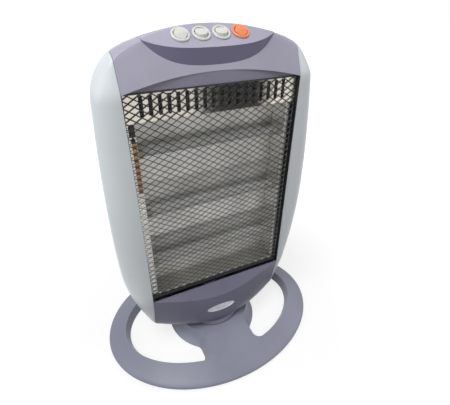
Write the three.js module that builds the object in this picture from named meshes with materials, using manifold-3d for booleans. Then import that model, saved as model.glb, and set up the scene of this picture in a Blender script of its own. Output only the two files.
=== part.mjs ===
// Free-standing halogen heater: an oval base with two hand-wide openings, a slim
// body that swings from side to side on a hollow pivot, three quartz tubes in front
// of a pressed reflector, a woven guard and four round rocker switches on top.
// Millimetres. The floor is z = 0, the pivot is the Z axis and the front faces -Y.
import * as THREE from 'three';
import { mergeVertices } from 'three/addons/utils/BufferGeometryUtils.js';
import Module from 'manifold-3d';

const wasm = await Module();
wasm.setup();

// ---- fits and clearances ----
const gap = 0.3;
const runningGap = 0.5;
const wall = 3;
const sheet = 1.2;

// ---- base moulding ----
const baseHalfWidth = 200;
const baseHalfDepth = 150;
const baseUnderside = 1.5;
const baseEdgeWidest = 7;
const baseEdgeTop = 8;
const collarTop = 28.9;
const ringWidth = 38;
const ringDepth = 48;
const collarRadius = 68.6;
const collarRun = baseHalfDepth - collarRadius;
const crownPower = 1.25;
const baseWall = 2.6;
const holeEdgeHalfWidth = baseHalfWidth - ringWidth;
const holeEdgeHalfDepth = baseHalfDepth - ringDepth;
const holeDraft = 7;
const holeDraftHeight = 17.4;
const bridgeHalfWidthTop = 41;
const bridgeHalfWidthFloor = 51;
const bossFlare = 17;
const bossFlarePower = 2.2;
const noseRadiusTop = 14;
const noseRadiusFloor = 9;
const cornerFilletTop = 20;
const cornerFilletFloor = 14;
const skirtWellRadius = 54;
const skirtWellFloor = 21.5;
const plateThickness = 1.6;
const plateInset = 5.5;
const plateSlack = 1.9;
const padRadius = 11;
const padHeight = 3;
const padRecess = 1.8;
const seatHeight = padHeight + plateThickness + 2 * gap;
const padInsetX = 69;
const padInsetY = 62.5;
const padX = baseHalfWidth - padInsetX;
const padY = baseHalfDepth - padInsetY;
const plungerInset = 38;
const plungerY = baseHalfDepth - plungerInset;
const plungerRadius = 2.6;
const switchHalfWidth = 9;
const switchHalfDepth = 7;
const switchHeight = 8.4;

// ---- pivot and swing drive ----
const skirtRadius = 52.7;
const skirtTopRadius = 40;
const tubeRadius = 14;
const tubeBore = 10.5;
const tubeFlangeRadius = 24;
const tubeTop = 51;
const flangeThickness = 3;
const nutRadius = 23;
const nutFlange = 2;
const nutHeight = 7;
const swingAngle = 35;
const crankAngle = 125;
const motorOffset = 24;
const crankRadius = motorOffset * Math.sin(THREE.MathUtils.degToRad(swingAngle));
const pinRadius = 1.6;
const slotHalfWidth = 4.4;
const armThickness = 2;
const armHalfWidth = 8;
const armLength = 45;
const motorRadius = 24;
const motorHeight = 18;
const motorHubRadius = 6;
const shaftRadius = 2;
const bracketHalfWidth = 40;
const bracketHalfDepth = 14;
const bracketTop = 66;

// ---- body form ----
const bodyBottom = 35;
const crestHeight = 523.6;
const capHeight = 62.6;
const topArcRadius = 325;
const shoulderRadius = 63;
const shoulderCentre = 85.3;
const widestHalfWidth = 156.3;
const widestHeight = 262;
const sideBulgeRadius = 2130;
const tuckStart = 180;
const tuckHeight = 150;
const tuckWidth = 53;
const seamHalfWidth = 117.5;
const openingBottom = 127;
const openingTop = crestHeight - capHeight;
const openingFront = -39;
const openingBow = 5.4;
const chinSlope = 0.2028;
const capSlope = 0.4452;
const browDrop = 14.1;
const browHeight = crestHeight - browDrop;
const browRound = 22.2;
const chinCrown = 12;
const chinCrownGain = 0.2736;
const chinFilletHeight = 23;
const chinFilletDepth = 22;
const rearDepth = 60;
const rearRollRun = 93.6;
const rearRollStart = crestHeight - rearRollRun;
const rearTuckStart = 150;
const rearTuckHeight = 118;
const rearTuckDepth = 16;
const cornerDepth = 24;
const cornerDepthGain = 36;
const cornerGainTop = 330;
const cornerGainRun = 230;
const cornerGainPower = 2.6;
const crestCornerRun = 43.6;
const crestCornerLoss = 16;
const leastCorner = 9;
const rearCorner = 45;
const sideTaper = 5;
const lensRun = 0.625;
const coverBack = 8;
const seamFlange = 2.4;
const seamFlangeBack = -27;
const trayThickness = 3;
const trayBottom = bodyBottom + gap;
const trayTop = trayBottom + trayThickness;

// ---- panel and switches ----
const panelHalfWidth = 83.9;
const panelFoot = crestHeight - 45.6;
const panelFront = -31.3;
const panelFrontDrop = 21.2;
const panelFrontHeight = crestHeight - panelFrontDrop;
const panelRise = 0.6613;
const panelCurve = 5.915e-4;
const panelCurveFourth = 2.223e-7;
const switchPitch = 25.45;
const switchY = -13.6;
const bezelRadius = 11.4;
const bezelHeight = 2.5;
const housingRadius = 9.8;
const housingDepth = 15;
const rockerRadius = 7.4;
const rockerWell = 8.4;
const rockerWellDepth = 9;
const rockerTilt = 14;
const rockerSlope = 7;
const rockerRise = 4.2;
const rockerFoot = 4.2;

// ---- opening, guard and heating parts ----
const guardY = -33.6;
const guardThickness = 1.2;
const guardColumns = 5;
const guardRows = 11;
const guardWire = 1.6;
const guardBorder = 3;
const guardFoot = 8;
const guardReturn = 4.8;
const returnThickness = 0.6;
const bandArcHeight = 15.3;
const bandY = -31.9;
const bandWall = 2.6;
const stripY = -31.6;
const stripHeight = 35;
const stripBottom = openingTop - stripHeight;
const stripThickness = 0.8;
const slotCount = 18;
const slotPitch = 11.3;
const slotWidth = 5;
const slotFootDrop = 29;
const slotFoot = openingTop - slotFootDrop;
const reflectorFootRise = 11;
const reflectorHeadDrop = 36;
const reflectorBottom = openingBottom + reflectorFootRise;
const reflectorTop = openingTop - reflectorHeadDrop;
const reflectorLip = -28;
const ridgeDepth = 24;
const troughDepth = 10;
const troughCount = 3;
const troughPitch = (reflectorTop - reflectorBottom) / troughCount;
const sidePlateX = 106.2;
const reflectorHalfWidth = sidePlateX - gap;
const sidePlateBottom = 66;
const sidePlateFront = -30;
const sideFlange = 9.4;
const sidePlateRear = 49;
const tubeOuter = 5.25;
const tubeInner = 4.15;
const tubeY = -8.5;
const tubeHeights = [0, 1, 2].map((i) => reflectorBottom + (i + 0.5) * troughPitch);
const capRadius = 7.5;
const capLength = 13;
const filamentRadius = 1.2;
const busInset = 0.6;
const busWidth = 5.4;
const busLength = 71;
const cutoutWidth = 6.8;
const cutoutHeight = 14.5;
const cutoutThickness = 1.7;

// ---- rear shell details ----
const ventWidth = 74;
const ventHeight = 5;
const ventPitch = 13;
const ventColumn = 45;
const ventRows = 4;
const lowVents = 150;
const highVents = 300;
const gripInner = 105;
const gripFront = 8;
const gripLength = 34;
const gripHeight = 9;
const gripDrop = 53.6;
const gripZ = crestHeight - gripDrop;
const glandX = 62;
const glandZ = 72;
const glandRadius = 6;
const glandBore = 3.6;
const lowScrewX = 88;
const lowScrewZ = 100;
const highScrewX = 75;
const highScrewDrop = 43.6;
const highScrewZ = crestHeight - highScrewDrop;
const screwRadius = 2;
const screwHead = 4;
const screwHeadHeight = 1.2;
const baseScrewLength = 11;
const rearScrewLength = 14;
const pillarRadius = 5;
const seatRadius = 7.5;
const seatDepth = 6;
const lowScrews = [[-lowScrewX, lowScrewZ], [lowScrewX, lowScrewZ]];
const highScrews = [[-highScrewX, highScrewZ], [highScrewX, highScrewZ]];
const badgeX = -3;
const badgeZ = 77;
const badgeHalfWidth = 26;
const badgeHalfHeight = 7.4;
const badgeThickness = 0.9;

// Cutting blocks run out to this distance, past every face of the object.
const beyond = 1.2 * crestHeight;

const rad = THREE.MathUtils.degToRad;
const lerp = THREE.MathUtils.lerp;
const clamp = THREE.MathUtils.clamp;

// ---- solids ----

// A closed solid from a geometry, with its faces turned outward.
function solid(geometry) {
  geometry.deleteAttribute('normal');
  geometry.deleteAttribute('uv');
  const merged = mergeVertices(geometry, 1e-5);
  const vertices = merged.attributes.position.array;
  const indices = merged.index.array;
  const kept = [];
  let volume = 0;
  for (let i = 0; i < indices.length; i += 3) {
    const [a, b, c] = [indices[i], indices[i + 1], indices[i + 2]];
    if (a === b || b === c || c === a) continue;
    kept.push(a, b, c);
    const corner = [a, b, c].map((n) => new THREE.Vector3().fromArray(vertices, n * 3));
    volume += corner[0].dot(corner[1].cross(corner[2]));
  }
  if (volume < 0) kept.reverse();
  const mesh = new wasm.Mesh({
    numProp: 3,
    vertProperties: Float32Array.from(vertices),
    triVerts: Uint32Array.from(kept),
  });
  return new wasm.Manifold(mesh);
}

// A solid skinned through rings of points, all with the same number of points.
function loft(rings) {
  const count = rings[0].length;
  const geometry = new THREE.BufferGeometry();
  const index = [];
  for (let level = 0; level < rings.length - 1; level += 1) {
    for (let i = 0; i < count; i += 1) {
      const next = (i + 1) % count;
      const low = level * count;
      const high = low + count;
      index.push(low + i, low + next, high + next);
      index.push(low + i, high + next, high + i);
    }
  }
  for (const level of [0, rings.length - 1]) {
    const flat = flatten(rings[level]);
    const flip = level === 0 ? 1 : -1;
    for (const face of THREE.ShapeUtils.triangulateShape(flat, [])) {
      const ordered = windingOf(flat) * flip > 0 ? [face[0], face[2], face[1]] : face;
      index.push(...ordered.map((n) => n + level * count));
    }
  }
  geometry.setAttribute('position', new THREE.Float32BufferAttribute(rings.flat(2), 3));
  geometry.setIndex(index);
  return solid(geometry);
}

// The two coordinates in which a flat ring of points spreads out, in right-handed order.
function flatten(ring) {
  const spread = [0, 1, 2].map((axis) => {
    const values = ring.map((point) => point[axis]);
    return Math.max(...values) - Math.min(...values);
  });
  const normal = spread.indexOf(Math.min(...spread));
  const first = (normal + 1) % 3;
  const second = (normal + 2) % 3;
  return ring.map((point) => new THREE.Vector2(point[first], point[second]));
}

// Positive when the loft travels along the ring's own winding normal.
function windingOf(flat) {
  return THREE.ShapeUtils.area(flat) > 0 ? 1 : -1;
}

// Straight prisms along X, Y and Z, from outlines in the other two axes.
function prismX(outline, from, to) {
  return loft([from, to].map((x) => outline.map(([y, z]) => [x, y, z])));
}

function prismY(outline, from, to) {
  return loft([to, from].map((y) => outline.map(([x, z]) => [x, y, z])));
}

function prismZ(outline, from, to) {
  return loft([from, to].map((z) => outline.map(([x, y]) => [x, y, z])));
}

function block(x0, x1, y0, y1, z0, z1) {
  const geometry = new THREE.BoxGeometry(x1 - x0, y1 - y0, z1 - z0);
  geometry.translate((x0 + x1) / 2, (y0 + y1) / 2, (z0 + z1) / 2);
  return solid(geometry);
}

// A solid of revolution about Z from pairs of radius and height, closed on the axis or on itself.
function turned(profile, segments) {
  const points = profile.map(([radius, height]) => new THREE.Vector2(radius, height));
  const geometry = new THREE.LatheGeometry(points, segments);
  geometry.rotateX(Math.PI / 2);
  return solid(geometry);
}

function rod(radius, from, to, segments) {
  return turned([[0, from], [radius, from], [radius, to], [0, to]], segments);
}

function pipe(inner, outer, from, to, segments) {
  const ring = [[inner, from], [outer, from], [outer, to], [inner, to], [inner, from]];
  return turned(ring, segments);
}

function turn(shape, x, y, z) {
  return shape.rotate([x, y, z]);
}

function move(shape, x, y, z) {
  return shape.translate([x, y, z]);
}

// A named mesh with its own material.
function piece(name, shape, colour, roughness, metalness) {
  const mesh = shape.getMesh();
  const geometry = new THREE.BufferGeometry();
  geometry.setAttribute('position', new THREE.Float32BufferAttribute(mesh.vertProperties, 3));
  geometry.setIndex(new THREE.BufferAttribute(new Uint32Array(mesh.triVerts), 1));
  geometry.computeVertexNormals();
  const material = new THREE.MeshStandardMaterial({ color: colour, roughness, metalness });
  const node = new THREE.Mesh(geometry, material);
  node.name = name;
  return node;
}

// ---- colours ----
const lilac = 0x7d7b8c;
const lilacLight = 0xa09eb0;
const white = 0xdde1e4;
const ivory = 0xdfe0da;
const orange = 0xf0763f;
const black = 0x1c1c20;
const steel = 0xb9bcc0;
const ceramic = 0xe6e0d2;
const brass = 0xb5894a;
const rubber = 0x26262a;
const quartz = 0xdfe3e6;

// ---- body form ----

const arcCentre = crestHeight - topArcRadius;
const shoulderHeight = arcCentre + Math.sqrt(
  (topArcRadius - shoulderRadius) ** 2 - shoulderCentre ** 2);
const shoulderTangent = (shoulderHeight - arcCentre) / (topArcRadius - shoulderRadius);

// The share of a quarter ellipse's offset at a distance t of its run.
function quarter(t) {
  return 1 - Math.sqrt(1 - clamp(t, 0, 1) ** 2);
}

// Half width of the body at a height, seen from the front.
function halfWidth(z, inset) {
  if (z <= shoulderHeight) {
    const bulge = (z - widestHeight) ** 2 / (2 * sideBulgeRadius);
    const tuck = tuckWidth * quarter((tuckStart - z) / tuckHeight);
    return widestHalfWidth - bulge - (z < tuckStart ? tuck : 0) - inset;
  }
  const tangentHeight = arcCentre + (topArcRadius - inset) * shoulderTangent;
  if (z <= tangentHeight) {
    const radius = shoulderRadius - inset;
    return shoulderCentre + Math.sqrt(radius ** 2 - (z - shoulderHeight) ** 2);
  }
  return Math.sqrt((topArcRadius - inset) ** 2 - (z - arcCentre) ** 2);
}

// Front of the body at a height, on the seam between shell and covers.
function frontY(z, inset) {
  const brow = browHeight - inset / 2;
  if (z > brow) {
    const s = Math.sqrt((crestHeight - inset - z) / (crestHeight - inset - brow));
    const browY = openingFront + (brow - openingTop) * capSlope + inset;
    return browY * s * s - browRound * s * (1 - s);
  }
  if (z > openingTop) return openingFront + (z - openingTop) * capSlope + inset;
  if (z > openingBottom) {
    const middle = (openingTop + openingBottom) / 2;
    const share = (z - middle) / (openingTop - middle);
    return openingFront - openingBow * (1 - share * share) + inset;
  }
  const fillet = chinFilletDepth * quarter((bodyBottom + chinFilletHeight - z) / chinFilletHeight);
  const rolled = z < bodyBottom + chinFilletHeight ? fillet : 0;
  return openingFront + chinSlope * (openingBottom - z) + rolled + inset;
}

// Rear of the body at a height.
function rearY(z, inset) {
  if (z > rearRollStart) {
    const run = crestHeight - rearRollStart - inset;
    return (rearDepth - inset) * Math.sqrt(1 - ((z - rearRollStart) / run) ** 2);
  }
  const tuck = rearTuckDepth * quarter((rearTuckStart - z) / rearTuckHeight);
  return rearDepth - inset - (z < rearTuckStart ? tuck : 0);
}

// One level outline of the body, counter-clockwise from the middle of the front.
// crown pushes the middle of the front edge forward.
function bodyRing(z, inset, crown) {
  const width = halfWidth(z, inset);
  const front = frontY(z, inset);
  const rear = rearY(z, inset);
  const lowered = clamp((cornerGainTop - z) / cornerGainRun, 0, 1) ** cornerGainPower;
  const raised = clamp((z - crestHeight) / crestCornerRun + 1, 0, 1);
  const gained = cornerDepthGain * lowered - crestCornerLoss * raised;
  const deep = cornerDepth + gained - inset;
  const depth = Math.min(deep, (rear - front) * 0.45);
  const corner = Math.min(Math.max(width - seamHalfWidth, leastCorner), width * 0.4);
  const seam = width - corner;
  const taper = Math.min(sideTaper, width * 0.1);
  const rearRun = Math.min(rearCorner, width * 0.45);
  const rearRise = Math.min(rearCorner, (rear - front - depth) * 0.7);
  const half = [];
  for (const share of crown > 0 ? [0, 0.25, 0.5, 0.75] : [0]) {
    half.push([share * seam, front - crown * (1 - share * share), z]);
  }
  for (const angle of [0, 22, 45, 67, 90]) {
    const swing = rad(angle);
    const x = seam + corner * Math.sin(swing);
    half.push([x, front + depth * (1 - Math.cos(swing)), z]);
  }
  for (const angle of [0, 30, 60, 90]) {
    const swing = rad(angle);
    const x = width - taper - rearRun * (1 - Math.cos(swing));
    half.push([x, rear - rearRise * (1 - Math.sin(swing)), z]);
  }
  half.push([0, rear, z]);
  const mirrored = half.slice(1, -1).reverse().map(([x, y, height]) => [-x, y, height]);
  return [...half, ...mirrored];
}

// Heights of the body outlines, closer together where the form curves more.
function bodyLevels(inset) {
  const levels = [];
  for (let i = 0; i <= 7; i += 1) {
    levels.push(bodyBottom + (openingBottom - bodyBottom) * (i / 7) ** 1.7);
  }
  for (const share of [0.2, 0.4, 0.6, 0.8, 1]) {
    levels.push(lerp(openingBottom, shoulderHeight, share));
  }
  const tangentHeight = arcCentre + (topArcRadius - inset) * shoulderTangent;
  for (const angle of [13, 26, 39, 52]) {
    levels.push(shoulderHeight + (shoulderRadius - inset) * Math.sin(rad(angle)));
  }
  levels.push(tangentHeight);
  const crest = crestHeight - inset;
  for (const share of [0.8, 0.6, 0.4, 0.2, 0.05]) {
    levels.push(crest - (crest - tangentHeight) * share ** 2);
  }
  return levels;
}

// The whole body form, or the space a wall's thickness inside it.
function bodyForm(inset, bottom) {
  const rings = bodyLevels(inset).map((z) => bodyRing(z, inset, 0));
  if (bottom < bodyBottom) rings.unshift(rings[0].map(([x, y]) => [x, y, bottom]));
  return loft(rings);
}

// The lower front with its crown, up to the foot of the opening.
function chinForm(inset) {
  const rings = [];
  for (let i = 0; i <= 10; i += 1) {
    const z = bodyBottom + (openingBottom + 4 - bodyBottom) * (i / 10) ** 1.5;
    const crown = chinCrown + chinCrownGain * (openingBottom - z);
    rings.push(bodyRing(z, inset, crown));
  }
  if (inset > 0) rings.unshift(rings[0].map(([x, y]) => [x, y, bodyBottom - 1]));
  return loft(rings);
}

// ---- base ----

// Height of the base's upper surface at a distance in from its outer edge.
function baseHeight(inward) {
  const share = clamp(inward / collarRun, 0, 1);
  return baseEdgeTop + (collarTop - baseEdgeTop) * (1 - (1 - share) ** crownPower);
}

function ellipse(halfX, halfY, z, count) {
  const ring = [];
  for (let i = 0; i < count; i += 1) {
    const angle = (i / count) * 2 * Math.PI;
    ring.push([halfX * Math.cos(angle), halfY * Math.sin(angle), z]);
  }
  return ring;
}

// The domed oval, or the space a wall's thickness below it.
function baseForm(inset) {
  const count = 36;
  const rings = [];
  const edge = [[2, baseUnderside], [0.5, 4], [0, baseEdgeWidest], [1.2, baseEdgeTop + 0.7]];
  for (const [inward, z] of edge) {
    if (inset > 0 && z > baseEdgeTop - inset) continue;
    const shrink = inward + inset;
    const height = inset > 0 && rings.length === 0 ? z - 1 : z;
    rings.push(ellipse(baseHalfWidth - shrink, baseHalfDepth - shrink, height, count));
  }
  const shares = inset > 0 ? [0.1, 0.45, 1] : [0.06, 0.2, 0.4, 0.6, 0.8, 1];
  for (const share of shares) {
    const inward = Math.max(collarRun * share, inset);
    const z = baseHeight(inward) - inset;
    rings.push(ellipse(baseHalfWidth - inward - inset, baseHalfDepth - inward - inset, z, count));
  }
  return loft(rings);
}

// One level outline of the right-hand opening in the base; grow widens it all round.
function openingRing(z, grow) {
  const up = z / collarTop;
  const flare = bossFlare * clamp(1 - up, 0, 1) ** bossFlarePower;
  const boss = collarRadius + flare - grow;
  const line = lerp(bridgeHalfWidthFloor, bridgeHalfWidthTop, up) - grow;
  const nose = lerp(noseRadiusFloor, noseRadiusTop, up) + grow;
  const fillet = lerp(cornerFilletFloor, cornerFilletTop, up) - grow;
  const draft = holeDraft * (z / holeDraftHeight);
  const outerX = holeEdgeHalfWidth + draft + grow;
  const outerY = holeEdgeHalfDepth + draft + grow;
  const noseX = line + nose;
  const noseY = (outerY - nose) * Math.sqrt(1 - (noseX / (outerX - nose)) ** 2);
  const filletX = line + fillet;
  const filletY = Math.sqrt((boss + fillet) ** 2 - filletX ** 2);
  const noseNormal = Math.atan2(noseY / (outerY - nose) ** 2, noseX / (outerX - nose) ** 2);
  const upper = [];
  const bossEnd = Math.atan2(filletY, filletX);
  for (let i = 0; i <= 5; i += 1) {
    const angle = bossEnd * (i / 5);
    upper.push([boss * Math.cos(angle), boss * Math.sin(angle), z]);
  }
  for (let i = 1; i <= 3; i += 1) {
    const angle = lerp(bossEnd - Math.PI, -Math.PI, i / 3);
    upper.push([filletX + fillet * Math.cos(angle), filletY + fillet * Math.sin(angle), z]);
  }
  for (let i = 0; i <= 4; i += 1) {
    const angle = lerp(Math.PI, noseNormal, i / 4);
    upper.push([noseX + nose * Math.cos(angle), noseY + nose * Math.sin(angle), z]);
  }
  const last = upper[upper.length - 1];
  const start = Math.atan2(last[1] / outerY, last[0] / outerX);
  for (let i = 1; i <= 7; i += 1) {
    const angle = start * (1 - i / 7);
    upper.push([outerX * Math.cos(angle), outerY * Math.sin(angle), z]);
  }
  const lower = upper.slice(1, -1).reverse().map(([x, y, height]) => [x, -y, height]);
  return [...upper, ...lower].reverse();
}

function openingCutter(side, grow, bottom, top) {
  const levels = [bottom, lerp(bottom, top, 0.4), top];
  const rings = levels.map((z) => openingRing(z, grow).map(([x, y, h]) => [side * x, y, h]));
  return loft(rings);
}

function baseMoulding() {
  let shape = baseForm(0);
  let hollow = baseForm(baseWall);
  for (const side of [-1, 1]) {
    shape = shape.subtract(openingCutter(side, 0, -1, collarTop + 2));
    hollow = hollow.subtract(openingCutter(side, baseWall, -1, collarTop + 2));
  }
  const above = collarTop + 10;
  const bossBottom = seatHeight + flangeThickness + gap;
  hollow = hollow.subtract(rod(skirtWellRadius + baseWall, skirtWellFloor - baseWall, above, 40));
  const tubeBoss = pipe(tubeRadius + runningGap, tubeFlangeRadius + 4, bossBottom, above, 32);
  hollow = hollow.subtract(tubeBoss);
  for (const [x, y] of padPlaces()) {
    hollow = hollow.subtract(move(rod(screwHead + 1, seatHeight + 0.8, above, 12), x, y, 0));
  }
  shape = shape.subtract(hollow);
  shape = shape.subtract(rod(skirtWellRadius, skirtWellFloor, above, 40));
  shape = shape.subtract(rod(tubeRadius + gap, -1, above, 32));
  for (const [x, y] of padPlaces()) {
    shape = shape.subtract(screwHole(x, y));
  }
  return shape;
}

// Clearance hole for a screw that points up into the base.
function screwHole(x, y) {
  return move(rod(screwRadius + gap, 0, baseScrewLength + 1, 12), x, y, 0);
}

// Where the pads sit, each over a fixing screw: on the ring, clear of both openings.
function padPlaces() {
  const places = [];
  for (const x of [-padX, padX]) {
    for (const y of [-padY, padY]) places.push([x, y]);
  }
  return places;
}

function basePlate() {
  const halfX = baseHalfWidth - plateInset;
  const halfY = baseHalfDepth - plateInset;
  const from = padHeight + gap;
  let shape = prismZ(ellipse(halfX, halfY, 0, 36), from, from + plateThickness);
  for (const side of [-1, 1]) {
    const outline = openingRing(from, baseWall + plateSlack).map(([x, y]) => [side * x, y]);
    shape = shape.subtract(prismZ(outline, 0, seatHeight));
  }
  for (const [x, y] of padPlaces()) {
    shape = shape.subtract(screwHole(x, y));
  }
  return shape.subtract(move(rod(plungerRadius + 1.9, 0, seatHeight, 16), 0, plungerY, 0));
}

// Rubber ring with the screw head sunk in its middle.
function footPad() {
  const rim = padRadius - 1.5;
  const recess = screwHead + gap;
  const hole = screwRadius + gap;
  const profile = [[recess, padRecess], [recess, 0], [rim, 0], [padRadius, 1.5]];
  profile.push([padRadius, padHeight], [hole, padHeight], [hole, padRecess], [recess, padRecess]);
  return turned(profile, 16);
}

// Pan-head screw pointing up from z = 0.
function screw(length, segments) {
  const head = screwHeadHeight;
  const profile = [[0, 0], [screwHead - 0.8, 0], [screwHead, head * 0.6], [screwHead, head]];
  profile.push([screwRadius, head], [screwRadius, length], [0, length]);
  return turned(profile, segments);
}

// Lever switch under the rear of the base, opened when the heater tips off its feet.
function tiltSwitch() {
  const top = seatHeight + switchHeight;
  const [near, far] = [plungerY - switchHalfDepth, plungerY + switchHalfDepth];
  let shape = block(-switchHalfWidth, switchHalfWidth, near, far, seatHeight, top);
  const well = rod(plungerRadius + 0.8, 0, top - 2, 16);
  shape = shape.subtract(move(well, 0, plungerY, 0));
  for (const x of [-5, 5]) {
    const blade = block(x - 1.2, x + 1.2, near - 4, near + 1, seatHeight + 3, seatHeight + 4);
    shape = shape.add(blade);
  }
  return shape;
}

function tiltPlunger() {
  const top = seatHeight + switchHeight - 3;
  const profile = [[0, gap], [plungerRadius - 1, gap], [plungerRadius, gap + 1.1]];
  profile.push([plungerRadius, top], [0, top]);
  return move(turned(profile, 20), 0, plungerY, 0);
}

// ---- pivot ----

function pivotTube() {
  const foot = seatHeight;
  const flangeTop = foot + flangeThickness;
  const profile = [[tubeBore, foot], [tubeFlangeRadius, foot], [tubeFlangeRadius, flangeTop]];
  profile.push([tubeRadius, flangeTop], [tubeRadius, tubeTop], [tubeBore, tubeTop], [tubeBore, foot]);
  return turned(profile, 28);
}

function retainingNut() {
  const from = trayTop + runningGap;
  const bore = tubeRadius + gap;
  const grip = nutRadius - 4;
  const profile = [[bore, from], [nutRadius, from], [nutRadius, from + nutFlange]];
  profile.push([grip, from + nutFlange], [grip, from + nutHeight], [bore, from + nutHeight]);
  profile.push([bore, from]);
  return turned(profile, 24);
}

// Slotted arm clamped on the fixed tube; the crank pin works in its slot.
function linkArm() {
  const from = tubeTop + gap;
  const collar = tubeRadius + 3.5;
  const outline = [];
  for (let i = 0; i <= 12; i += 1) {
    const angle = rad(lerp(-215, 35, i / 12));
    outline.push([collar * Math.cos(angle), collar * Math.sin(angle)]);
  }
  for (let i = 0; i <= 6; i += 1) {
    const angle = rad(lerp(0, 180, i / 6));
    const y = armLength - armHalfWidth + armHalfWidth * Math.sin(angle);
    outline.push([armHalfWidth * Math.cos(angle), y]);
  }
  let arm = prismZ(outline, from, from + armThickness);
  arm = arm.subtract(rod(tubeBore, 0, beyond, 24));
  const far = motorOffset + crankRadius;
  const near = Math.hypot(motorOffset + crankRadius * Math.cos(rad(crankAngle)),
    crankRadius * Math.sin(rad(crankAngle)));
  const slot = [];
  for (let i = 0; i <= 6; i += 1) {
    const angle = rad(lerp(0, 180, i / 6));
    const y = far - slotHalfWidth + pinRadius + 1 + slotHalfWidth * Math.sin(angle);
    slot.push([slotHalfWidth * Math.cos(angle), y]);
  }
  slot.push([-slotHalfWidth, near - pinRadius - 1.5], [slotHalfWidth, near - pinRadius - 1.5]);
  return arm.subtract(prismZ(slot, 0, beyond));
}

// Domed skirt under the body, turning with it in the well of the base.
function turntableSkirt(chin) {
  const from = skirtWellFloor + runningGap;
  const top = bodyBottom + 8;
  const outer = [[skirtRadius - 0.6, from], [skirtRadius, from + 1.5], [skirtRadius, collarTop]];
  for (let i = 1; i <= 5; i += 1) {
    const share = i / 5;
    outer.push([lerp(skirtRadius, skirtTopRadius, share ** 1.6), lerp(collarTop, top, share)]);
  }
  const inner = tubeRadius + runningGap;
  const profile = [[inner, from], ...outer, [inner, top], [inner, from]];
  let shape = turned(profile, 32);
  const hollow = pipe(inner + 7.5, skirtRadius - 5, from - 1, bodyBottom - wall - gap, 20);
  shape = shape.subtract(hollow);
  const level = block(-beyond, beyond, -beyond, beyond, bodyBottom - gap, top + 1);
  const frontEdge = frontY(bodyBottom, 0) - 5;
  const frontOnly = block(-beyond, beyond, -beyond, frontEdge, bodyBottom - gap - 1, top + 2);
  shape = shape.subtract(level.subtract(frontOnly));
  return shape.subtract(chin);
}

// ---- body shells ----

// Space in front of the seams that belongs to the covers and the opening.
function frontSpace(grow) {
  const half = seamHalfWidth - gap / 2 + grow;
  return block(-half, half, -beyond, coverBack + grow, 0, beyond);
}

function rearShell(form, inner) {
  let shape = form.subtract(inner).subtract(frontSpace(gap));
  const half = seamHalfWidth + gap / 2;
  for (const side of [-1, 1]) {
    const [x0, x1] = sided(side, half, half + seamFlange);
    const flange = block(x0, x1, -beyond, seamFlangeBack, openingBottom - 20, openingTop + 4);
    shape = shape.add(form.intersect(flange));
  }
  for (const slot of ventSlots()) shape = shape.subtract(slot);
  for (const side of [-1, 1]) {
    const [x0, x1] = sided(side, gripInner, widestHalfWidth);
    const [y0, y1] = [gripFront, gripFront + gripLength];
    shape = shape.subtract(block(x0, x1, y0, y1, gripZ, gripZ + gripHeight));
  }
  const face = rearY(glandZ, 0);
  shape = shape.subtract(alongY(glandRadius + gap, face - 20, beyond, glandX, glandZ, 24));
  return sunkScrewSeats(shape, form);
}

// Rows of flat slots in the rear, in two columns and two groups.
function ventSlots() {
  const slots = [];
  for (let row = 0; row < ventRows; row += 1) {
    for (const column of [-ventColumn, ventColumn]) {
      for (const bottom of [lowVents, highVents]) {
        const z = bottom + row * ventPitch;
        const x = column - ventWidth / 2;
        slots.push(block(x, x + ventWidth, rearDepth - 20, beyond, z, z + ventHeight));
      }
    }
  }
  return slots;
}

// Sunk seats for the rear screws, each a thick spot with a head recess and a hole.
function sunkScrewSeats(shell, form) {
  let shape = shell;
  for (const [x, z] of [...lowScrews, ...highScrews]) {
    const face = rearY(z, 0);
    const seat = alongY(seatRadius, face - seatDepth, face + 10, x, z, 14).intersect(form);
    shape = shape.add(seat);
    shape = shape.subtract(alongY(screwHead + gap, face - wall, face + 20, x, z, 14));
    shape = shape.subtract(alongY(screwRadius + gap, face - 20, face + 20, x, z, 10));
  }
  return shape;
}

// Lower and higher x of a span given for the right, taken to the asked side.
function sided(side, near, far) {
  return [side * near, side * far].sort((a, b) => a - b);
}

// A round bar along Y.
function alongY(radius, from, to, x, z, segments) {
  return move(turn(rod(radius, from, to, segments), -90, 0, 0), x, 0, z);
}

// Hollow pillars that run back from a cover to the screws in the rear shell.
function pillars(places, space) {
  let shape = null;
  for (const [x, z] of places) {
    const end = rearY(z, 0) - seatDepth - gap;
    const post = alongY(pillarRadius, -beyond, end, x, z, 12).intersect(space);
    shape = shape ? shape.add(post) : post;
  }
  return shape;
}

function pillarHoles(shape, places) {
  let drilled = shape;
  for (const [x, z] of places) {
    const end = rearY(z, 0) - seatDepth;
    drilled = drilled.subtract(alongY(screwRadius + gap, end - 12, end + 5, x, z, 10));
  }
  return drilled;
}

// Front edge of the raised panel, seen from above.
function panelEdge(x) {
  return panelFront + panelCurve * x ** 2 + panelCurveFourth * x ** 4;
}

function panelHeightAt(y) {
  return panelFrontHeight + panelRise * (y - panelFront);
}

// Everything above the tilted panel plane.
function abovePanel(sink) {
  const [near, far] = [-rearDepth, rearDepth / 2];
  const outline = [[near, panelHeightAt(near) - sink], [far, panelHeightAt(far) - sink]];
  outline.push([far, beyond], [near, beyond]);
  return prismX(outline, -panelHalfWidth - 16, panelHalfWidth + 16);
}

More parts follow.
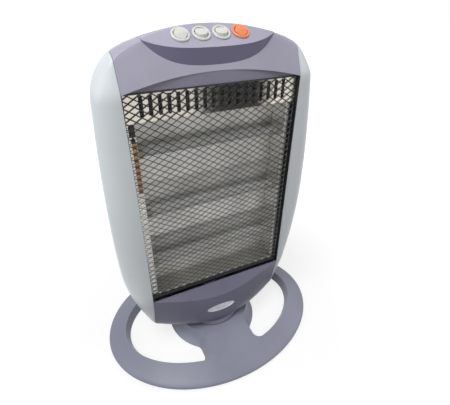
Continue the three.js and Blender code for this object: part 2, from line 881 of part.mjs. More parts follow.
// The lens-shaped block that carries the switches, standing out of the cover's front.
function panelBlock(inset, from) {
  const outline = [];
  const half = panelHalfWidth - inset * 2;
  for (let i = 0; i <= 12; i += 1) {
    const x = lerp(-half, half, i / 12);
    outline.push([x, panelEdge(x) + inset]);
  }
  outline.push([half, coverBack / 2], [-half, coverBack / 2]);
  const column = prismZ(outline, from, crestHeight + 4);
  const front = [];
  for (let i = 0; i <= 12; i += 1) {
    const x = lerp(half + 2, -half - 2, i / 12);
    front.push([x, arcCentre + Math.sqrt((topArcRadius - inset) ** 2 - x ** 2)]);
  }
  front.push([-half - 2, openingTop - 20], [half + 2, openingTop - 20]);
  const arch = prismY(front, -rearDepth, rearDepth / 2);
  return column.intersect(arch).subtract(abovePanel(inset * 1.2));
}

// The arched strip above the guard, set back from the cover's face.
function bandOutline(bottom) {
  const radius = (seamHalfWidth ** 2 + bandArcHeight ** 2) / (2 * bandArcHeight);
  const outline = [];
  for (let i = 0; i <= 12; i += 1) {
    const x = lerp(seamHalfWidth, -seamHalfWidth, i / 12);
    const drop = radius - Math.sqrt(radius ** 2 - x ** 2);
    outline.push([x, openingTop + bandArcHeight - drop]);
  }
  outline.push([-seamHalfWidth - 2, openingTop], [-seamHalfWidth - 2, bottom]);
  outline.push([seamHalfWidth + 2, bottom], [seamHalfWidth + 2, openingTop]);
  return outline;
}

function topCover(form, inner) {
  const half = seamHalfWidth - gap / 2;
  const region = block(-half, half, -beyond, coverBack - gap, openingTop, beyond);
  let shape = form.subtract(inner);
  shape = shape.subtract(prismY(bandOutline(openingTop - 10), -beyond, bandY));
  const band = block(-half, half, bandY, bandY + bandWall, openingTop, openingTop + 20);
  shape = shape.add(band.intersect(form));
  const hollow = panelBlock(wall, panelFoot - 8);
  const lump = panelBlock(0, panelFoot).subtract(hollow);
  shape = shape.subtract(hollow).subtract(abovePanel(0)).add(lump);
  shape = shape.intersect(region).add(pillars(highScrews, form));
  shape = pillarHoles(shape, highScrews);
  for (const index of [0, 1, 2, 3]) {
    shape = shape.subtract(switchPlace(rod(housingRadius + gap, -40, 40, 24), index));
  }
  return shape;
}

function bottomCover(chin, chinInner) {
  const half = seamHalfWidth - gap / 2;
  const region = block(-half, half, -beyond, coverBack - gap, 0, openingBottom);
  const cut = lensCut(0);
  const inside = chinInner.subtract(lensCut(wall * 1.2));
  let shape = chin.subtract(cut).intersect(region).subtract(inside);
  shape = pillarHoles(shape.add(pillars(lowScrews, chin)), lowScrews);
  return shape.subtract(badgeColumn(gap).subtract(chinForm(badgeThickness + gap)));
}

// Everything above the facet that slopes forward and down from the foot of the opening.
function lensCut(sink) {
  const [rise, drop] = [60, openingBottom - bodyBottom];
  const rear = openingFront + rise * lensRun;
  const front = openingFront - drop * lensRun;
  const top = openingBottom + rise + 30;
  const outline = [[rear, openingBottom + rise - sink], [front, openingBottom - drop - sink]];
  outline.push([front - rise, openingBottom - drop - sink], [front - rise, top], [rear, top]);
  return prismX(outline, -widestHalfWidth, widestHalfWidth);
}

function floorTray() {
  const crown = chinCrown + chinCrownGain * (openingBottom - bodyBottom);
  let shape = prismZ(bodyRing(bodyBottom, wall + gap, crown), trayBottom, trayTop);
  shape = shape.subtract(rod(tubeRadius + runningGap, 0, beyond, 32));
  return shape;
}

// ---- switches ----

// Places a shape made around its own Z axis on the tilted panel.
function switchPlace(shape, index) {
  const x = (index - 1.5) * switchPitch;
  const tilt = THREE.MathUtils.radToDeg(Math.atan(panelRise));
  return move(turn(shape, tilt, 0, 0), x, switchY, panelHeightAt(switchY));
}

function switchHousing(index) {
  const rim = bezelRadius;
  const profile = [[0, -housingDepth], [housingRadius, -housingDepth], [housingRadius, gap]];
  profile.push([rim - 0.2, gap], [rim, 0.9], [rim - 0.7, 1.9], [rim - 1.8, bezelHeight]);
  profile.push([rockerWell + 0.6, bezelHeight - 0.3], [rockerWell, bezelHeight - 1]);
  profile.push([rockerWell, -rockerWellDepth + bezelHeight], [0, -rockerWellDepth + bezelHeight]);
  let shape = turned(profile, 20);
  for (const x of [-4, 4]) {
    const blade = block(x - 0.5, x + 0.5, -2.5, 2.5, -housingDepth - 7, -housingDepth + 1);
    shape = shape.add(blade);
  }
  return switchPlace(shape, index);
}

// Round rocker with a ridged top; lean is the end that is pressed in, +1 the front one.
function rocker(index, lean) {
  const edge = rockerRise - rockerRadius * Math.tan(rad(rockerSlope));
  const outline = [[-rockerRadius, -rockerFoot], [rockerRadius, -rockerFoot]];
  outline.push([rockerRadius, edge], [0, rockerRise], [-rockerRadius, edge]);
  let shape = prismX(outline, -rockerRadius, rockerRadius);
  const profile = [[0, -rockerFoot], [rockerRadius - 1.6, -rockerFoot], [rockerRadius, -0.5]];
  profile.push([rockerRadius - 0.3, rockerRise + 1], [0, rockerRise + 1]);
  shape = shape.intersect(turned(profile, 20));
  return switchPlace(turn(shape, lean * rockerTilt, 0, 0), index);
}

// ---- guard and heating parts ----

// Diamond lattice in a plain border, deeper along its foot and turned forward at the sides.
function guardMesh() {
  const half = seamHalfWidth - gap;
  const [from, to] = [openingBottom + gap, openingTop - gap];
  const [near, far] = [guardY, guardY + guardThickness];
  const innerHalf = half - guardBorder;
  const [low, high] = [from + guardFoot, to - guardBorder];
  const cellX = (2 * innerHalf) / guardColumns;
  const cellZ = (high - low) / guardRows;
  const corner = [innerHalf + cellX, (high - low) / 2 + cellZ];
  const middle = (low + high) / 2;
  const sheetShape = new THREE.Shape([[-1, -1], [1, -1], [1, 1], [-1, 1]].map(([x, z]) =>
    new THREE.Vector2(x * corner[0], middle + z * corner[1])));
  const [reachX, reachZ] = [cellX / 2 - guardWire, (cellX / 2 - guardWire) * (cellZ / cellX)];
  for (let row = 0; row <= guardRows * 2; row += 1) {
    const shift = row % 2;
    const z = low + (cellZ * row) / 2;
    for (let column = 0; column <= guardColumns - shift; column += 1) {
      const x = -innerHalf + cellX * (column + shift / 2);
      const cell = [[x - reachX, z], [x, z - reachZ], [x + reachX, z], [x, z + reachZ]];
      sheetShape.holes.push(new THREE.Path(cell.map(([u, v]) => new THREE.Vector2(u, v))));
    }
  }
  const options = { depth: guardThickness, bevelEnabled: false };
  const geometry = new THREE.ExtrudeGeometry(sheetShape, options);
  geometry.rotateX(Math.PI / 2);
  geometry.translate(0, far, 0);
  const lattice = solid(geometry).intersect(block(-half, half, near - 1, far + 1, from, to));
  const border = block(-half, half, near, far, from, to);
  const opening = block(-innerHalf, innerHalf, near - 1, far + 1, low, high);
  let guard = lattice.add(border.subtract(opening));
  for (const side of [-1, 1]) {
    const [x0, x1] = sided(side, half - returnThickness, half);
    guard = guard.add(block(x0, x1, near - guardReturn, near + 0.4, from + 0.1, to - 0.1));
  }
  return guard;
}

// Slotted metal strip behind the top of the guard, rolled over along its lower edge.
function topStrip() {
  const half = sidePlateX - gap;
  const wide = sidePlateX + sideFlange;
  const back = stripY + stripThickness;
  const top = openingTop - 2;
  const profile = [[stripY, stripBottom], [stripY, top], [back, top]];
  profile.push([back, stripBottom + 4], [back + 3, stripBottom + 2.4], [back + 3, stripBottom]);
  let shape = prismX(profile.reverse(), -half, half);
  shape = shape.add(block(-wide, wide, stripY, back, stripBottom, top));
  for (let i = 0; i < slotCount; i += 1) {
    const x = (i - (slotCount - 1) / 2) * slotPitch;
    const cut = [[x - slotWidth / 2, top - 2], [x - slotWidth / 2, slotFoot + slotWidth / 2]];
    cut.push([x - slotWidth / 4, slotFoot + 0.3], [x + slotWidth / 4, slotFoot + 0.3]);
    cut.push([x + slotWidth / 2, slotFoot + slotWidth / 2], [x + slotWidth / 2, top - 2]);
    shape = shape.subtract(prismY(cut.reverse(), stripY - 2, back + 1));
  }
  return shape;
}

// Pressed reflector: one shallow trough behind each tube, joined by soft ridges.
function reflector() {
  const face = [];
  const steps = 8;
  for (let i = 0; i <= troughCount * steps; i += 1) {
    const share = (i % steps) / steps;
    const rise = Math.sin(Math.PI * share) ** 0.8;
    const ends = i === 0 || i === troughCount * steps;
    const y = ends ? reflectorLip : reflectorLip + ridgeDepth + troughDepth * rise;
    face.push([y, reflectorBottom + (i / steps) * troughPitch]);
  }
  const back = face.map(([y, z]) => [y + sheet, z]).reverse();
  return prismX([...face, ...back], -reflectorHalfWidth, reflectorHalfWidth);
}

// Steel side frame holding the tube ends and the reflector, turned outward at the front.
function sidePlate(side) {
  const [low, high] = [openingBottom + 6, openingTop - 4];
  const outline = [[sidePlateFront, low], [sidePlateFront, high], [sidePlateRear - 18, high]];
  outline.push([sidePlateRear, rearRollStart - 10], [sidePlateRear, sidePlateBottom + 30]);
  outline.push([sidePlateRear - 20, sidePlateBottom], [0, sidePlateBottom]);
  const [x0, x1] = sided(side, sidePlateX, sidePlateX + sheet);
  let shape = prismX(outline.reverse(), x0, x1);
  const [x2, x3] = sided(side, sidePlateX, sidePlateX + sideFlange);
  shape = shape.add(block(x2, x3, sidePlateFront, sidePlateFront + stripThickness, low, high));
  for (const z of tubeHeights) {
    const hole = turn(rod(capRadius + gap, -beyond, beyond, 20), 0, 90, 0);
    shape = shape.subtract(move(hole, 0, tubeY, z));
  }
  return shape;
}

function quartzTube(z) {
  const half = sidePlateX - capLength + 8;
  return move(turn(pipe(tubeInner, tubeOuter, -half, half, 16), 0, 90, 0), 0, tubeY, z);
}

function filament(z) {
  const half = sidePlateX - capLength + 12;
  return move(turn(rod(filamentRadius, -half, half, 8), 0, 90, 0), 0, tubeY, z);
}

// Ceramic holder on one end of a tube, open towards the tube and shut outside.
function tubeCap(side, z) {
  const from = sidePlateX - capLength + 4;
  const to = sidePlateX + 7;
  const depth = sidePlateX - capLength + 8 + gap;
  const profile = [[0, to], [capRadius, to], [capRadius, from], [tubeOuter + gap, from]];
  profile.push([tubeOuter + gap, depth], [filamentRadius + gap, depth]);
  profile.push([filamentRadius + gap, depth + 4 + gap], [0, depth + 4 + gap]);
  const shape = turned(profile.reverse(), 12);
  return move(turn(shape, 0, side * 90, 0), 0, tubeY, z);
}

// Copper strip down the front of the left side frame.
function busStrip() {
  const [x0, x1] = sided(-1, sidePlateX + busInset, sidePlateX + busInset + busWidth);
  const back = sidePlateFront - gap;
  const top = stripBottom - cutoutHeight - 10;
  return block(x0, x1, back - stripThickness, back, top - busLength, top);
}

// ---- drive and electrical parts ----

// Synchronous gear motor hanging its output hub down through the bracket.
function motor() {
  const from = bracketTop + gap;
  const profile = [[0, from], [motorRadius, from], [motorRadius, from + motorHeight - 1]];
  profile.push([motorRadius - 1, from + motorHeight], [0, from + motorHeight]);
  let shape = turned(profile, 32);
  shape = shape.add(rod(motorHubRadius, bracketTop - sheet - 2, from + 1, 20));
  shape = shape.add(block(-8, 8, motorRadius - 4, motorRadius + 3, from + 3, from + 12));
  shape = shape.subtract(rod(shaftRadius + gap, bracketTop - sheet - 3, from + 4, 12));
  return move(shape, 0, motorOffset, 0);
}

function motorBracket() {
  const foot = trayTop + gap;
  const [y0, y1] = [motorOffset - bracketHalfDepth, motorOffset + bracketHalfDepth];
  let shape = block(-bracketHalfWidth, bracketHalfWidth, y0, y1, bracketTop - sheet, bracketTop);
  for (const side of [-1, 1]) {
    const [leg0, leg1] = sided(side, bracketHalfWidth - sheet, bracketHalfWidth);
    shape = shape.add(block(leg0, leg1, y0, y1, foot, bracketTop));
    const [shoe0, shoe1] = sided(side, bracketHalfWidth - sheet, bracketHalfWidth + 10);
    shape = shape.add(block(shoe0, shoe1, y0, y1, foot, foot + sheet));
  }
  return shape.subtract(move(rod(motorHubRadius + gap, 0, beyond, 20), 0, motorOffset, 0));
}

// Crank disc on the motor shaft; its pin drops into the arm's slot.
function crank() {
  const discTop = bracketTop - sheet - 2 - gap;
  const armTop = tubeTop + gap + armThickness;
  const discBottom = armTop + 1.5;
  const pinBottom = tubeTop - 1.5;
  const outline = [];
  const hub = 7;
  const nose = 4;
  for (let i = 0; i <= 8; i += 1) {
    const angle = rad(lerp(180, 360, i / 8));
    outline.push([hub * Math.cos(angle), hub * Math.sin(angle)]);
  }
  for (let i = 0; i <= 6; i += 1) {
    const angle = rad(lerp(0, 180, i / 6));
    outline.push([nose * Math.cos(angle), crankRadius + nose * Math.sin(angle)]);
  }
  let shape = prismZ(outline, discBottom, Math.min(discTop, discBottom + 4));
  shape = shape.add(rod(shaftRadius, discBottom + 1, bracketTop + gap + 3, 12));
  shape = shape.add(move(rod(pinRadius, pinBottom, discBottom + 1, 16), 0, crankRadius, 0));
  return move(shape, 0, motorOffset, 0);
}

// Thermal cut-out on the front of the left side frame, with its blade and clip below.
function thermalCutout() {
  const [x0, x1] = sided(-1, sidePlateX + busInset, sidePlateX + busInset + cutoutWidth);
  const back = sidePlateFront - gap;
  const front = back - cutoutThickness;
  const top = stripBottom - 1.5;
  const bottom = top - cutoutHeight;
  const middle = (x0 + x1) / 2;
  const blade = block(middle - 1, middle + 1, back - 1, back, bottom - 8, bottom + 1);
  const clip = block(x0 + 1, x1 - 1, front + 0.4, back, bottom - 8, bottom - 3);
  return block(x0, x1, front, back, bottom, top).add(blade).add(clip);
}

function terminalBlock() {
  const from = trayTop + gap;
  let shape = block(58, 88, 12, 26, from, from + 12);
  for (const x of [64, 73, 82]) {
    shape = shape.subtract(move(rod(2, from + 5, from + 14, 10), x, 19, 0));
    const wire = turn(rod(1.6, -10, 10, 8), 90, 0, 0);
    shape = shape.subtract(move(wire, x, 19, from + 3.5));
  }
  return shape;
}

// Cord inlet bush in the rear shell, with a flange outside and a lip inside.
function cordGland(form) {
  const face = rearY(glandZ, 0);
  const flange = alongY(glandRadius + 4, face - 12, face + 2.5, glandX, glandZ, 28);
  const neck = alongY(glandRadius, face - 16, face + 6, glandX, glandZ, 24);
  const bore = alongY(glandBore, face - 40, face + 40, glandX, glandZ, 20);
  return flange.subtract(form).add(neck).subtract(bore);
}

// The oval outline of the badge, driven through the chin; grow widens it all round.
function badgeColumn(grow) {
  const outline = [];
  for (let i = 0; i < 20; i += 1) {
    const angle = (i / 20) * 2 * Math.PI;
    const x = badgeX + (badgeHalfWidth + grow) * Math.cos(angle);
    outline.push([x, badgeZ + (badgeHalfHeight + grow) * Math.sin(angle)]);
  }
  return prismY(outline, -beyond, -rearDepth / 2);
}

// Plain oval plate let into the chin.
function badge(chin) {
  return badgeColumn(0).intersect(chin).subtract(chinForm(badgeThickness));
}

// Screws through the rear shell into the pillars, head outward.
function rearScrew([x, z]) {
  const face = rearY(z, 0) - wall + gap + screwHeadHeight;
  return move(turn(screw(rearScrewLength, 12), 90, 0, 0), x, face, z);
}

// ---- the finished part ----

const form = bodyForm(0, bodyBottom);
const inner = bodyForm(wall, bodyBottom - 2);
const grownForm = bodyForm(-gap, bodyBottom);
const chin = chinForm(0);
const chinInner = chinForm(wall);

const part = new THREE.Group();
part.name = 'halogen_heater';

part.add(piece('base_moulding', baseMoulding(), lilac, 0.45, 0));
part.add(piece('base_plate', basePlate(), steel, 0.5, 0.8));
padPlaces().forEach(([x, y], i) => {
  part.add(piece(`foot_pad_${i + 1}`, move(footPad(), x, y, 0), rubber, 0.9, 0));
});
padPlaces().forEach(([x, y], i) => {
  const fixing = move(screw(baseScrewLength, 12), x, y, padRecess - gap - screwHeadHeight);
  part.add(piece(`base_screw_${i + 1}`, fixing, steel, 0.4, 0.9));
});
part.add(piece('tilt_switch', tiltSwitch(), black, 0.6, 0));
part.add(piece('tilt_plunger', tiltPlunger(), ivory, 0.5, 0));
part.add(piece('pivot_tube', pivotTube(), steel, 0.35, 0.9));
part.add(piece('retaining_nut', retainingNut(), steel, 0.4, 0.9));
part.add(piece('link_arm', linkArm(), steel, 0.4, 0.9));

part.add(piece('turntable_skirt', turntableSkirt(chinForm(-gap)), lilac, 0.45, 0));
part.add(piece('floor_tray', floorTray(), black, 0.6, 0));
part.add(piece('bottom_cover', bottomCover(chin, chinInner), lilac, 0.45, 0));
part.add(piece('rear_shell', rearShell(form, inner), white, 0.4, 0));
part.add(piece('top_cover', topCover(form, inner), lilacLight, 0.45, 0));

part.add(piece('badge', badge(chin), steel, 0.3, 0.9));
[...lowScrews, ...highScrews].forEach((place, i) => {
  part.add(piece(`rear_screw_${i + 1}`, rearScrew(place), steel, 0.4, 0.9));
});

part.add(piece('guard_mesh', guardMesh(), black, 0.4, 0.6));
part.add(piece('top_strip', topStrip(), steel, 0.35, 0.9));
part.add(piece('reflector', reflector(), steel, 0.2, 1));
part.add(piece('side_plate_left', sidePlate(-1), steel, 0.4, 0.9));
part.add(piece('side_plate_right', sidePlate(1), steel, 0.4, 0.9));
tubeHeights.forEach((z, i) => {
  part.add(piece(`quartz_tube_${i + 1}`, quartzTube(z), quartz, 0.15, 0));
  part.add(piece(`filament_${i + 1}`, filament(z), steel, 0.4, 0.9));
  part.add(piece(`tube_cap_left_${i + 1}`, tubeCap(-1, z), ceramic, 0.7, 0));
  part.add(piece(`tube_cap_right_${i + 1}`, tubeCap(1, z), ceramic, 0.7, 0));
});
part.add(piece('bus_strip', busStrip(), brass, 0.4, 0.9));

part.add(piece('motor', motor(), steel, 0.4, 0.8));
part.add(piece('motor_bracket', motorBracket(), steel, 0.4, 0.9));
part.add(piece('crank', crank(), ivory, 0.5, 0));
part.add(piece('thermal_cutout', thermalCutout(), black, 0.5, 0.2));
part.add(piece('terminal_block', terminalBlock(), ivory, 0.5, 0));
part.add(piece('cord_gland', cordGland(grownForm), black, 0.6, 0));

for (const index of [0, 1, 2, 3]) {
  const colour = index === 3 ? orange : ivory;
  const lean = index === 0 || index === 3 ? 1 : -1;
  part.add(piece(`switch_housing_${index + 1}`, switchHousing(index), colour, 0.35, 0));
  part.add(piece(`rocker_${index + 1}`, rocker(index, lean), colour, 0.35, 0));
}

export default part;
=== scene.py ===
import math
import bpy
from mathutils import Matrix, Vector


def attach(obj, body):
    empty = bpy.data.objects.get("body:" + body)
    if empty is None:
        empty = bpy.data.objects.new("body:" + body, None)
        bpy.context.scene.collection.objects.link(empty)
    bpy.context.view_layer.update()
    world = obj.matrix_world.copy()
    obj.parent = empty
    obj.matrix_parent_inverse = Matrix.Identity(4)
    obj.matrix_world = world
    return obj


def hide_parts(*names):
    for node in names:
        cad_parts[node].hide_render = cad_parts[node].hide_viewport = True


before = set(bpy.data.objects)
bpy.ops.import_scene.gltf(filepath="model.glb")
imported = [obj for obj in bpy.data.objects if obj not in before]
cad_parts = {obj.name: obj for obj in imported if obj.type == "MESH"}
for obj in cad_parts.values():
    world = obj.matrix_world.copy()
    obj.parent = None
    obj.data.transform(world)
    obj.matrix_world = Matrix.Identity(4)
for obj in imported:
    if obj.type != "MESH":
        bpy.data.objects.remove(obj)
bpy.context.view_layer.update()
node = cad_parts

# ---- Camera -------------------------------------------------------------
# A phone-like wide lens, held above the heater's left front and tilted down,
# so that the body spreads towards the top of the picture.
eye = Vector((-0.17416, -0.4166, 0.5704))
eye_azimuth = math.radians(-25.817)
eye_elevation = math.radians(33.842)
eye_roll = math.radians(0.810)
back = Vector((math.sin(eye_azimuth) * math.cos(eye_elevation),
               -math.cos(eye_azimuth) * math.cos(eye_elevation), math.sin(eye_elevation)))
level_right = (-back).cross(Vector((0, 0, 1))).normalized()
level_up = level_right.cross(-back)
right = math.cos(eye_roll) * level_right + math.sin(eye_roll) * level_up
up = -math.sin(eye_roll) * level_right + math.cos(eye_roll) * level_up
sensor_width = 36
picture_width = 450
focal_pixels = 338.6
lens = bpy.data.cameras.new("camera")
lens.sensor_width = sensor_width
lens.lens = focal_pixels / picture_width * sensor_width
lens.clip_start = 0.01
camera = bpy.data.objects.new("camera", lens)
camera.matrix_world = Matrix.Translation(eye) @ Matrix((right, up, back)).transposed().to_4x4()
bpy.context.collection.objects.link(camera)
bpy.context.scene.camera = camera
bpy.context.scene.view_settings.view_transform = "Standard"


# ---- Room: white floor, even daylight -----------------------------------
# A white sweep lit from all round, with one large soft lamp above the front
# and a weaker one at each side, as in a plain product picture.
def linear(red, green, blue):
    """Colour written 0 to 255 as on a screen, as the shader wants it."""
    steps = []
    for value in (red, green, blue):
        share = value / 255
        steps.append(share / 12.92 if share < 0.04045 else ((share + 0.055) / 1.055) ** 2.4)
    return (*steps, 1.0)


def new_material(name):
    """A fresh material with its shader, node list and a joining function."""
    made = bpy.data.materials.new(name)
    made.use_nodes = True
    nodes = made.node_tree.nodes
    return made, nodes["Principled BSDF"], nodes, made.node_tree.links.new


def object_place(nodes):
    return nodes.new("ShaderNodeTexCoord").outputs["Object"]


def spread(nodes, join, value, low, high, start=0, end=1):
    """Carries a value from the range start to end over to low to high."""
    made = nodes.new("ShaderNodeMapRange")
    made.inputs["From Min"].default_value = start
    made.inputs["From Max"].default_value = end
    made.inputs["To Min"].default_value = low
    made.inputs["To Max"].default_value = high
    join(value, made.inputs["Value"])
    return made.outputs["Result"]


def reckon(nodes, join, operation, first, second, clamp=False):
    made = nodes.new("ShaderNodeMath")
    made.operation = operation
    made.use_clamp = clamp
    join(first, made.inputs[0])
    join(second, made.inputs[1])
    return made.outputs["Value"]


def straight_rays(nodes, join):
    """1 for a ray from the camera, off metal or through glass, and 0 for others."""
    ray = nodes.new("ShaderNodeLightPath")
    total = ray.outputs["Is Camera Ray"]
    for kind in ("Is Glossy Ray", "Is Transmission Ray"):
        total = reckon(nodes, join, "ADD", total, ray.outputs[kind], clamp=True)
    return total


daylight_strength = 0.24
backdrop_strength = 1.0
world = bpy.data.worlds.new("daylight")
bpy.context.scene.world = world
world.use_nodes = True
nodes = world.node_tree.nodes
join = world.node_tree.links.new
sky = nodes["Background"]
sky.inputs["Color"].default_value = (1, 1, 1, 1)
join(spread(nodes, join, straight_rays(nodes, join), daylight_strength, backdrop_strength),
     sky.inputs["Strength"])

for name, place, aim, size, power in (
        ("key", (-0.8, -0.6, 2.1), (0, 0, 0.3), 1.1, 26),
        ("side", (1.8, -0.5, 1.4), (0, 0, 0.25), 1.2, 9),
        ("left", (-1.9, -0.2, 1.1), (0, 0, 0.25), 1.2, 8)):
    lamp = bpy.data.lights.new(name, "AREA")
    lamp.size = size
    lamp.energy = power
    light = bpy.data.objects.new(name, lamp)
    light.location = place
    light.rotation_euler = (Vector(aim) - Vector(place)).to_track_quat("-Z", "Y").to_euler()
    bpy.context.collection.objects.link(light)

floor_size = 12
below_the_pads = -0.0004
# The floor's glow is weaker near the heater than far off: painted shade round the heater, added to
# its real shadow.
near_glow, far_glow = 0.72, 1.0
near_reach, far_reach = 0.25, 0.8
bpy.ops.mesh.primitive_plane_add(size=floor_size, location=(0, 0, below_the_pads))
floor = bpy.context.object
floor.name = "floor"
paper, shader, nodes, join = new_material("white_paper")
shader.inputs["Base Color"].default_value = (0.32, 0.32, 0.32, 1)
shader.inputs["Roughness"].default_value = 0.9
reach = nodes.new("ShaderNodeVectorMath")
reach.operation = "LENGTH"
join(object_place(nodes), reach.inputs[0])
glow_with_painted_shade = spread(nodes, join, reach.outputs["Value"], near_glow, far_glow, near_reach, far_reach)
glow = nodes.new("ShaderNodeEmission")
join(reckon(nodes, join, "MULTIPLY", straight_rays(nodes, join), glow_with_painted_shade), glow.inputs["Strength"])
both = nodes.new("ShaderNodeAddShader")
join(shader.outputs["BSDF"], both.inputs[0])
join(glow.outputs["Emission"], both.inputs[1])
join(both.outputs["Shader"], nodes["Material Output"].inputs["Surface"])
floor.data.materials.append(paper)


# ---- Base moulding ------------------------------------------------------
# One injection-moulded oval in grey-lilac ABS with a fine spark texture. It
# domes up to a round collar and has two hand-wide openings, left and right.
def noise(nodes, join, place, scale, detail=2, roughness=0.5):
    made = nodes.new("ShaderNodeTexNoise")
    made.inputs["Scale"].default_value = scale
    made.inputs["Detail"].default_value = detail
    made.inputs["Roughness"].default_value = roughness
    join(place, made.inputs["Vector"])
    return made.outputs["Fac"]


def tones(nodes, join, value, low, high, start=0, end=1):
    """A colour between low and high, both written 0 to 255."""
    made = nodes.new("ShaderNodeValToRGB")
    for stop, spot, colour in zip(made.color_ramp.elements, (start, end), (low, high)):
        stop.position = spot
        stop.color = linear(*colour)
    join(value, made.inputs["Fac"])
    return made.outputs["Color"]


def relief(nodes, join, height, strength, distance):
    made = nodes.new("ShaderNodeBump")
    made.inputs["Strength"].default_value = strength
    made.inputs["Distance"].default_value = distance
    join(height, made.inputs["Height"])
    return made.outputs["Normal"]


def moulded(name, colour, rough=0.42, grain=0.22, drift=0.05):
    """Spark-textured plastic: fine grain, faint flow marks and uneven gloss."""
    made, shader, nodes, join = new_material(name)
    place = object_place(nodes)
    skin = noise(nodes, join, place, 1400)
    flow = noise(nodes, join, place, 9, detail=4)
    low = [value * (1 - drift) for value in colour]
    high = [min(255, value * (1 + drift)) for value in colour]
    join(tones(nodes, join, flow, low, high, 0.3, 0.7), shader.inputs["Base Color"])
    join(spread(nodes, join, skin, rough - 0.05, rough + 0.08), shader.inputs["Roughness"])
    join(relief(nodes, join, skin, grain, 0.0003), shader.inputs["Normal"])
    return made


def pick(piece):
    bpy.ops.object.select_all(action="DESELECT")
    bpy.context.view_layer.objects.active = piece
    piece.select_set(True)


def skinned(name, rings):
    """A closed mesh through rings of points in millimetres, capped at both ends."""
    count = len(rings[0])
    points = [(x / 1000, y / 1000, z / 1000) for ring in rings for x, y, z in ring]
    faces = []
    for level in range(len(rings) - 1):
        for step in range(count):
            after = (step + 1) % count
            low, high = level * count, (level + 1) * count
            faces.append((low + step, low + after, high + after, high + step))
    faces.append(tuple(reversed(range(count))))
    faces.append(tuple(range((len(rings) - 1) * count, len(rings) * count)))
    mesh = bpy.data.meshes.new(name)
    mesh.from_pydata(points, [], faces)
    made = bpy.data.objects.new(name, mesh)
    bpy.context.collection.objects.link(made)
    pick(made)
    bpy.ops.object.mode_set(mode="EDIT")
    bpy.ops.mesh.select_all(action="SELECT")
    bpy.ops.mesh.remove_doubles(threshold=1e-7)
    bpy.ops.mesh.normals_make_consistent(inside=False)
    bpy.ops.object.mode_set(mode="OBJECT")
    return made


def carve(body, tool, how, keep=False):
    """Cuts, joins or keeps the shared part of two solids."""
    pick(body)
    step = body.modifiers.new("cut", "BOOLEAN")
    step.operation = how
    step.solver = "EXACT"
    step.object = tool
    bpy.ops.object.modifier_apply(modifier=step.name)
    if not keep:
        bpy.data.objects.remove(tool, do_unlink=True)


def cuboid(name, x0, x1, y0, y1, z0, z1):
    """A block between two corners, in millimetres."""
    bpy.ops.mesh.primitive_cube_add(size=1)
    made = bpy.context.object
    made.name = name
    middle = Vector(((x0 + x1) / 2, (y0 + y1) / 2, (z0 + z1) / 2)) / 1000
    made.data.transform(Matrix.Diagonal(((x1 - x0) / 1000, (y1 - y0) / 1000,
                                         (z1 - z0) / 1000, 1)))
    made.data.transform(Matrix.Translation(middle))
    return made


def smooth(piece, angle=32):
    """Soft shading with crisp lines where the faces turn sharply."""
    pick(piece)
    bpy.ops.object.shade_smooth_by_angle(angle=math.radians(angle))


def dress(piece, material, body, replaced):
    """Finish, body, slot and the solid that the piece stands for."""
    piece.data.materials.clear()
    piece.data.materials.append(material)
    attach(piece, body)
    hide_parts(replaced)


base_half_x, base_half_y = 200, 150
rim_z = 8
collar_top = 28.9
slope_run = 81.4
bore_radius = 14.3
wall_thickness = 0.0026


def base_height(inward):
    share = min(max(inward / slope_run, 0), 1)
    return rim_z + (collar_top - rim_z) * (1 - (1 - share) ** 1.25)


def oval(half_x, half_y, z, count=128):
    ring = []
    for step in range(count):
        angle = step / count * 2 * math.pi
        ring.append((half_x * math.cos(angle), half_y * math.sin(angle), z))
    return ring


def inner_oval(inward, z):
    return oval(base_half_x - inward, base_half_y - inward, z)


def ring_opening(z, side):
    """One level of an opening: boss, fillets, bridges, noses and the oval's inner edge."""
    rise = z / collar_top
    boss = 68.6 + 17 * max(1 - rise, 0) ** 2.2
    line = 51 - 10 * rise
    nose = 9 + 5 * rise
    fillet = 14 + 6 * rise
    draft = 7 * z / 17.4
    outer_x = 162 + draft
    outer_y = 102 + draft
    nose_x = line + nose
    nose_y = (outer_y - nose) * math.sqrt(1 - (nose_x / (outer_x - nose)) ** 2)
    fillet_x = line + fillet
    fillet_y = math.sqrt((boss + fillet) ** 2 - fillet_x ** 2)
    normal = math.atan2(nose_y / (outer_y - nose) ** 2, nose_x / (outer_x - nose) ** 2)
    boss_end = math.atan2(fillet_y, fillet_x)
    half = []
    for step in range(15):
        angle = boss_end * step / 14
        half.append((boss * math.cos(angle), boss * math.sin(angle)))
    for step in range(1, 9):
        angle = boss_end * (1 - step / 8) - math.pi
        half.append((fillet_x + fillet * math.cos(angle), fillet_y + fillet * math.sin(angle)))
    for step in range(11):
        angle = math.pi + (normal - math.pi) * step / 10
        half.append((nose_x + nose * math.cos(angle), nose_y + nose * math.sin(angle)))
    start = math.atan2(half[-1][1] / outer_y, half[-1][0] / outer_x)
    for step in range(1, 23):
        angle = start * (1 - step / 22)
        half.append((outer_x * math.cos(angle), outer_y * math.sin(angle)))
    lower = [(x, -y) for x, y in reversed(half[1:-1])]
    return [(side * x, y, z) for x, y in half + lower]


def swollen(piece, distance):
    """A copy of a solid with its faces pushed outward."""
    grown = piece.copy()
    grown.data = piece.data.copy()
    bpy.context.collection.objects.link(grown)
    pick(grown)
    swell = grown.modifiers.new("swell", "DISPLACE")
    swell.strength = distance
    swell.mid_level = 0
    bpy.ops.object.modifier_apply(modifier=swell.name)
    return grown


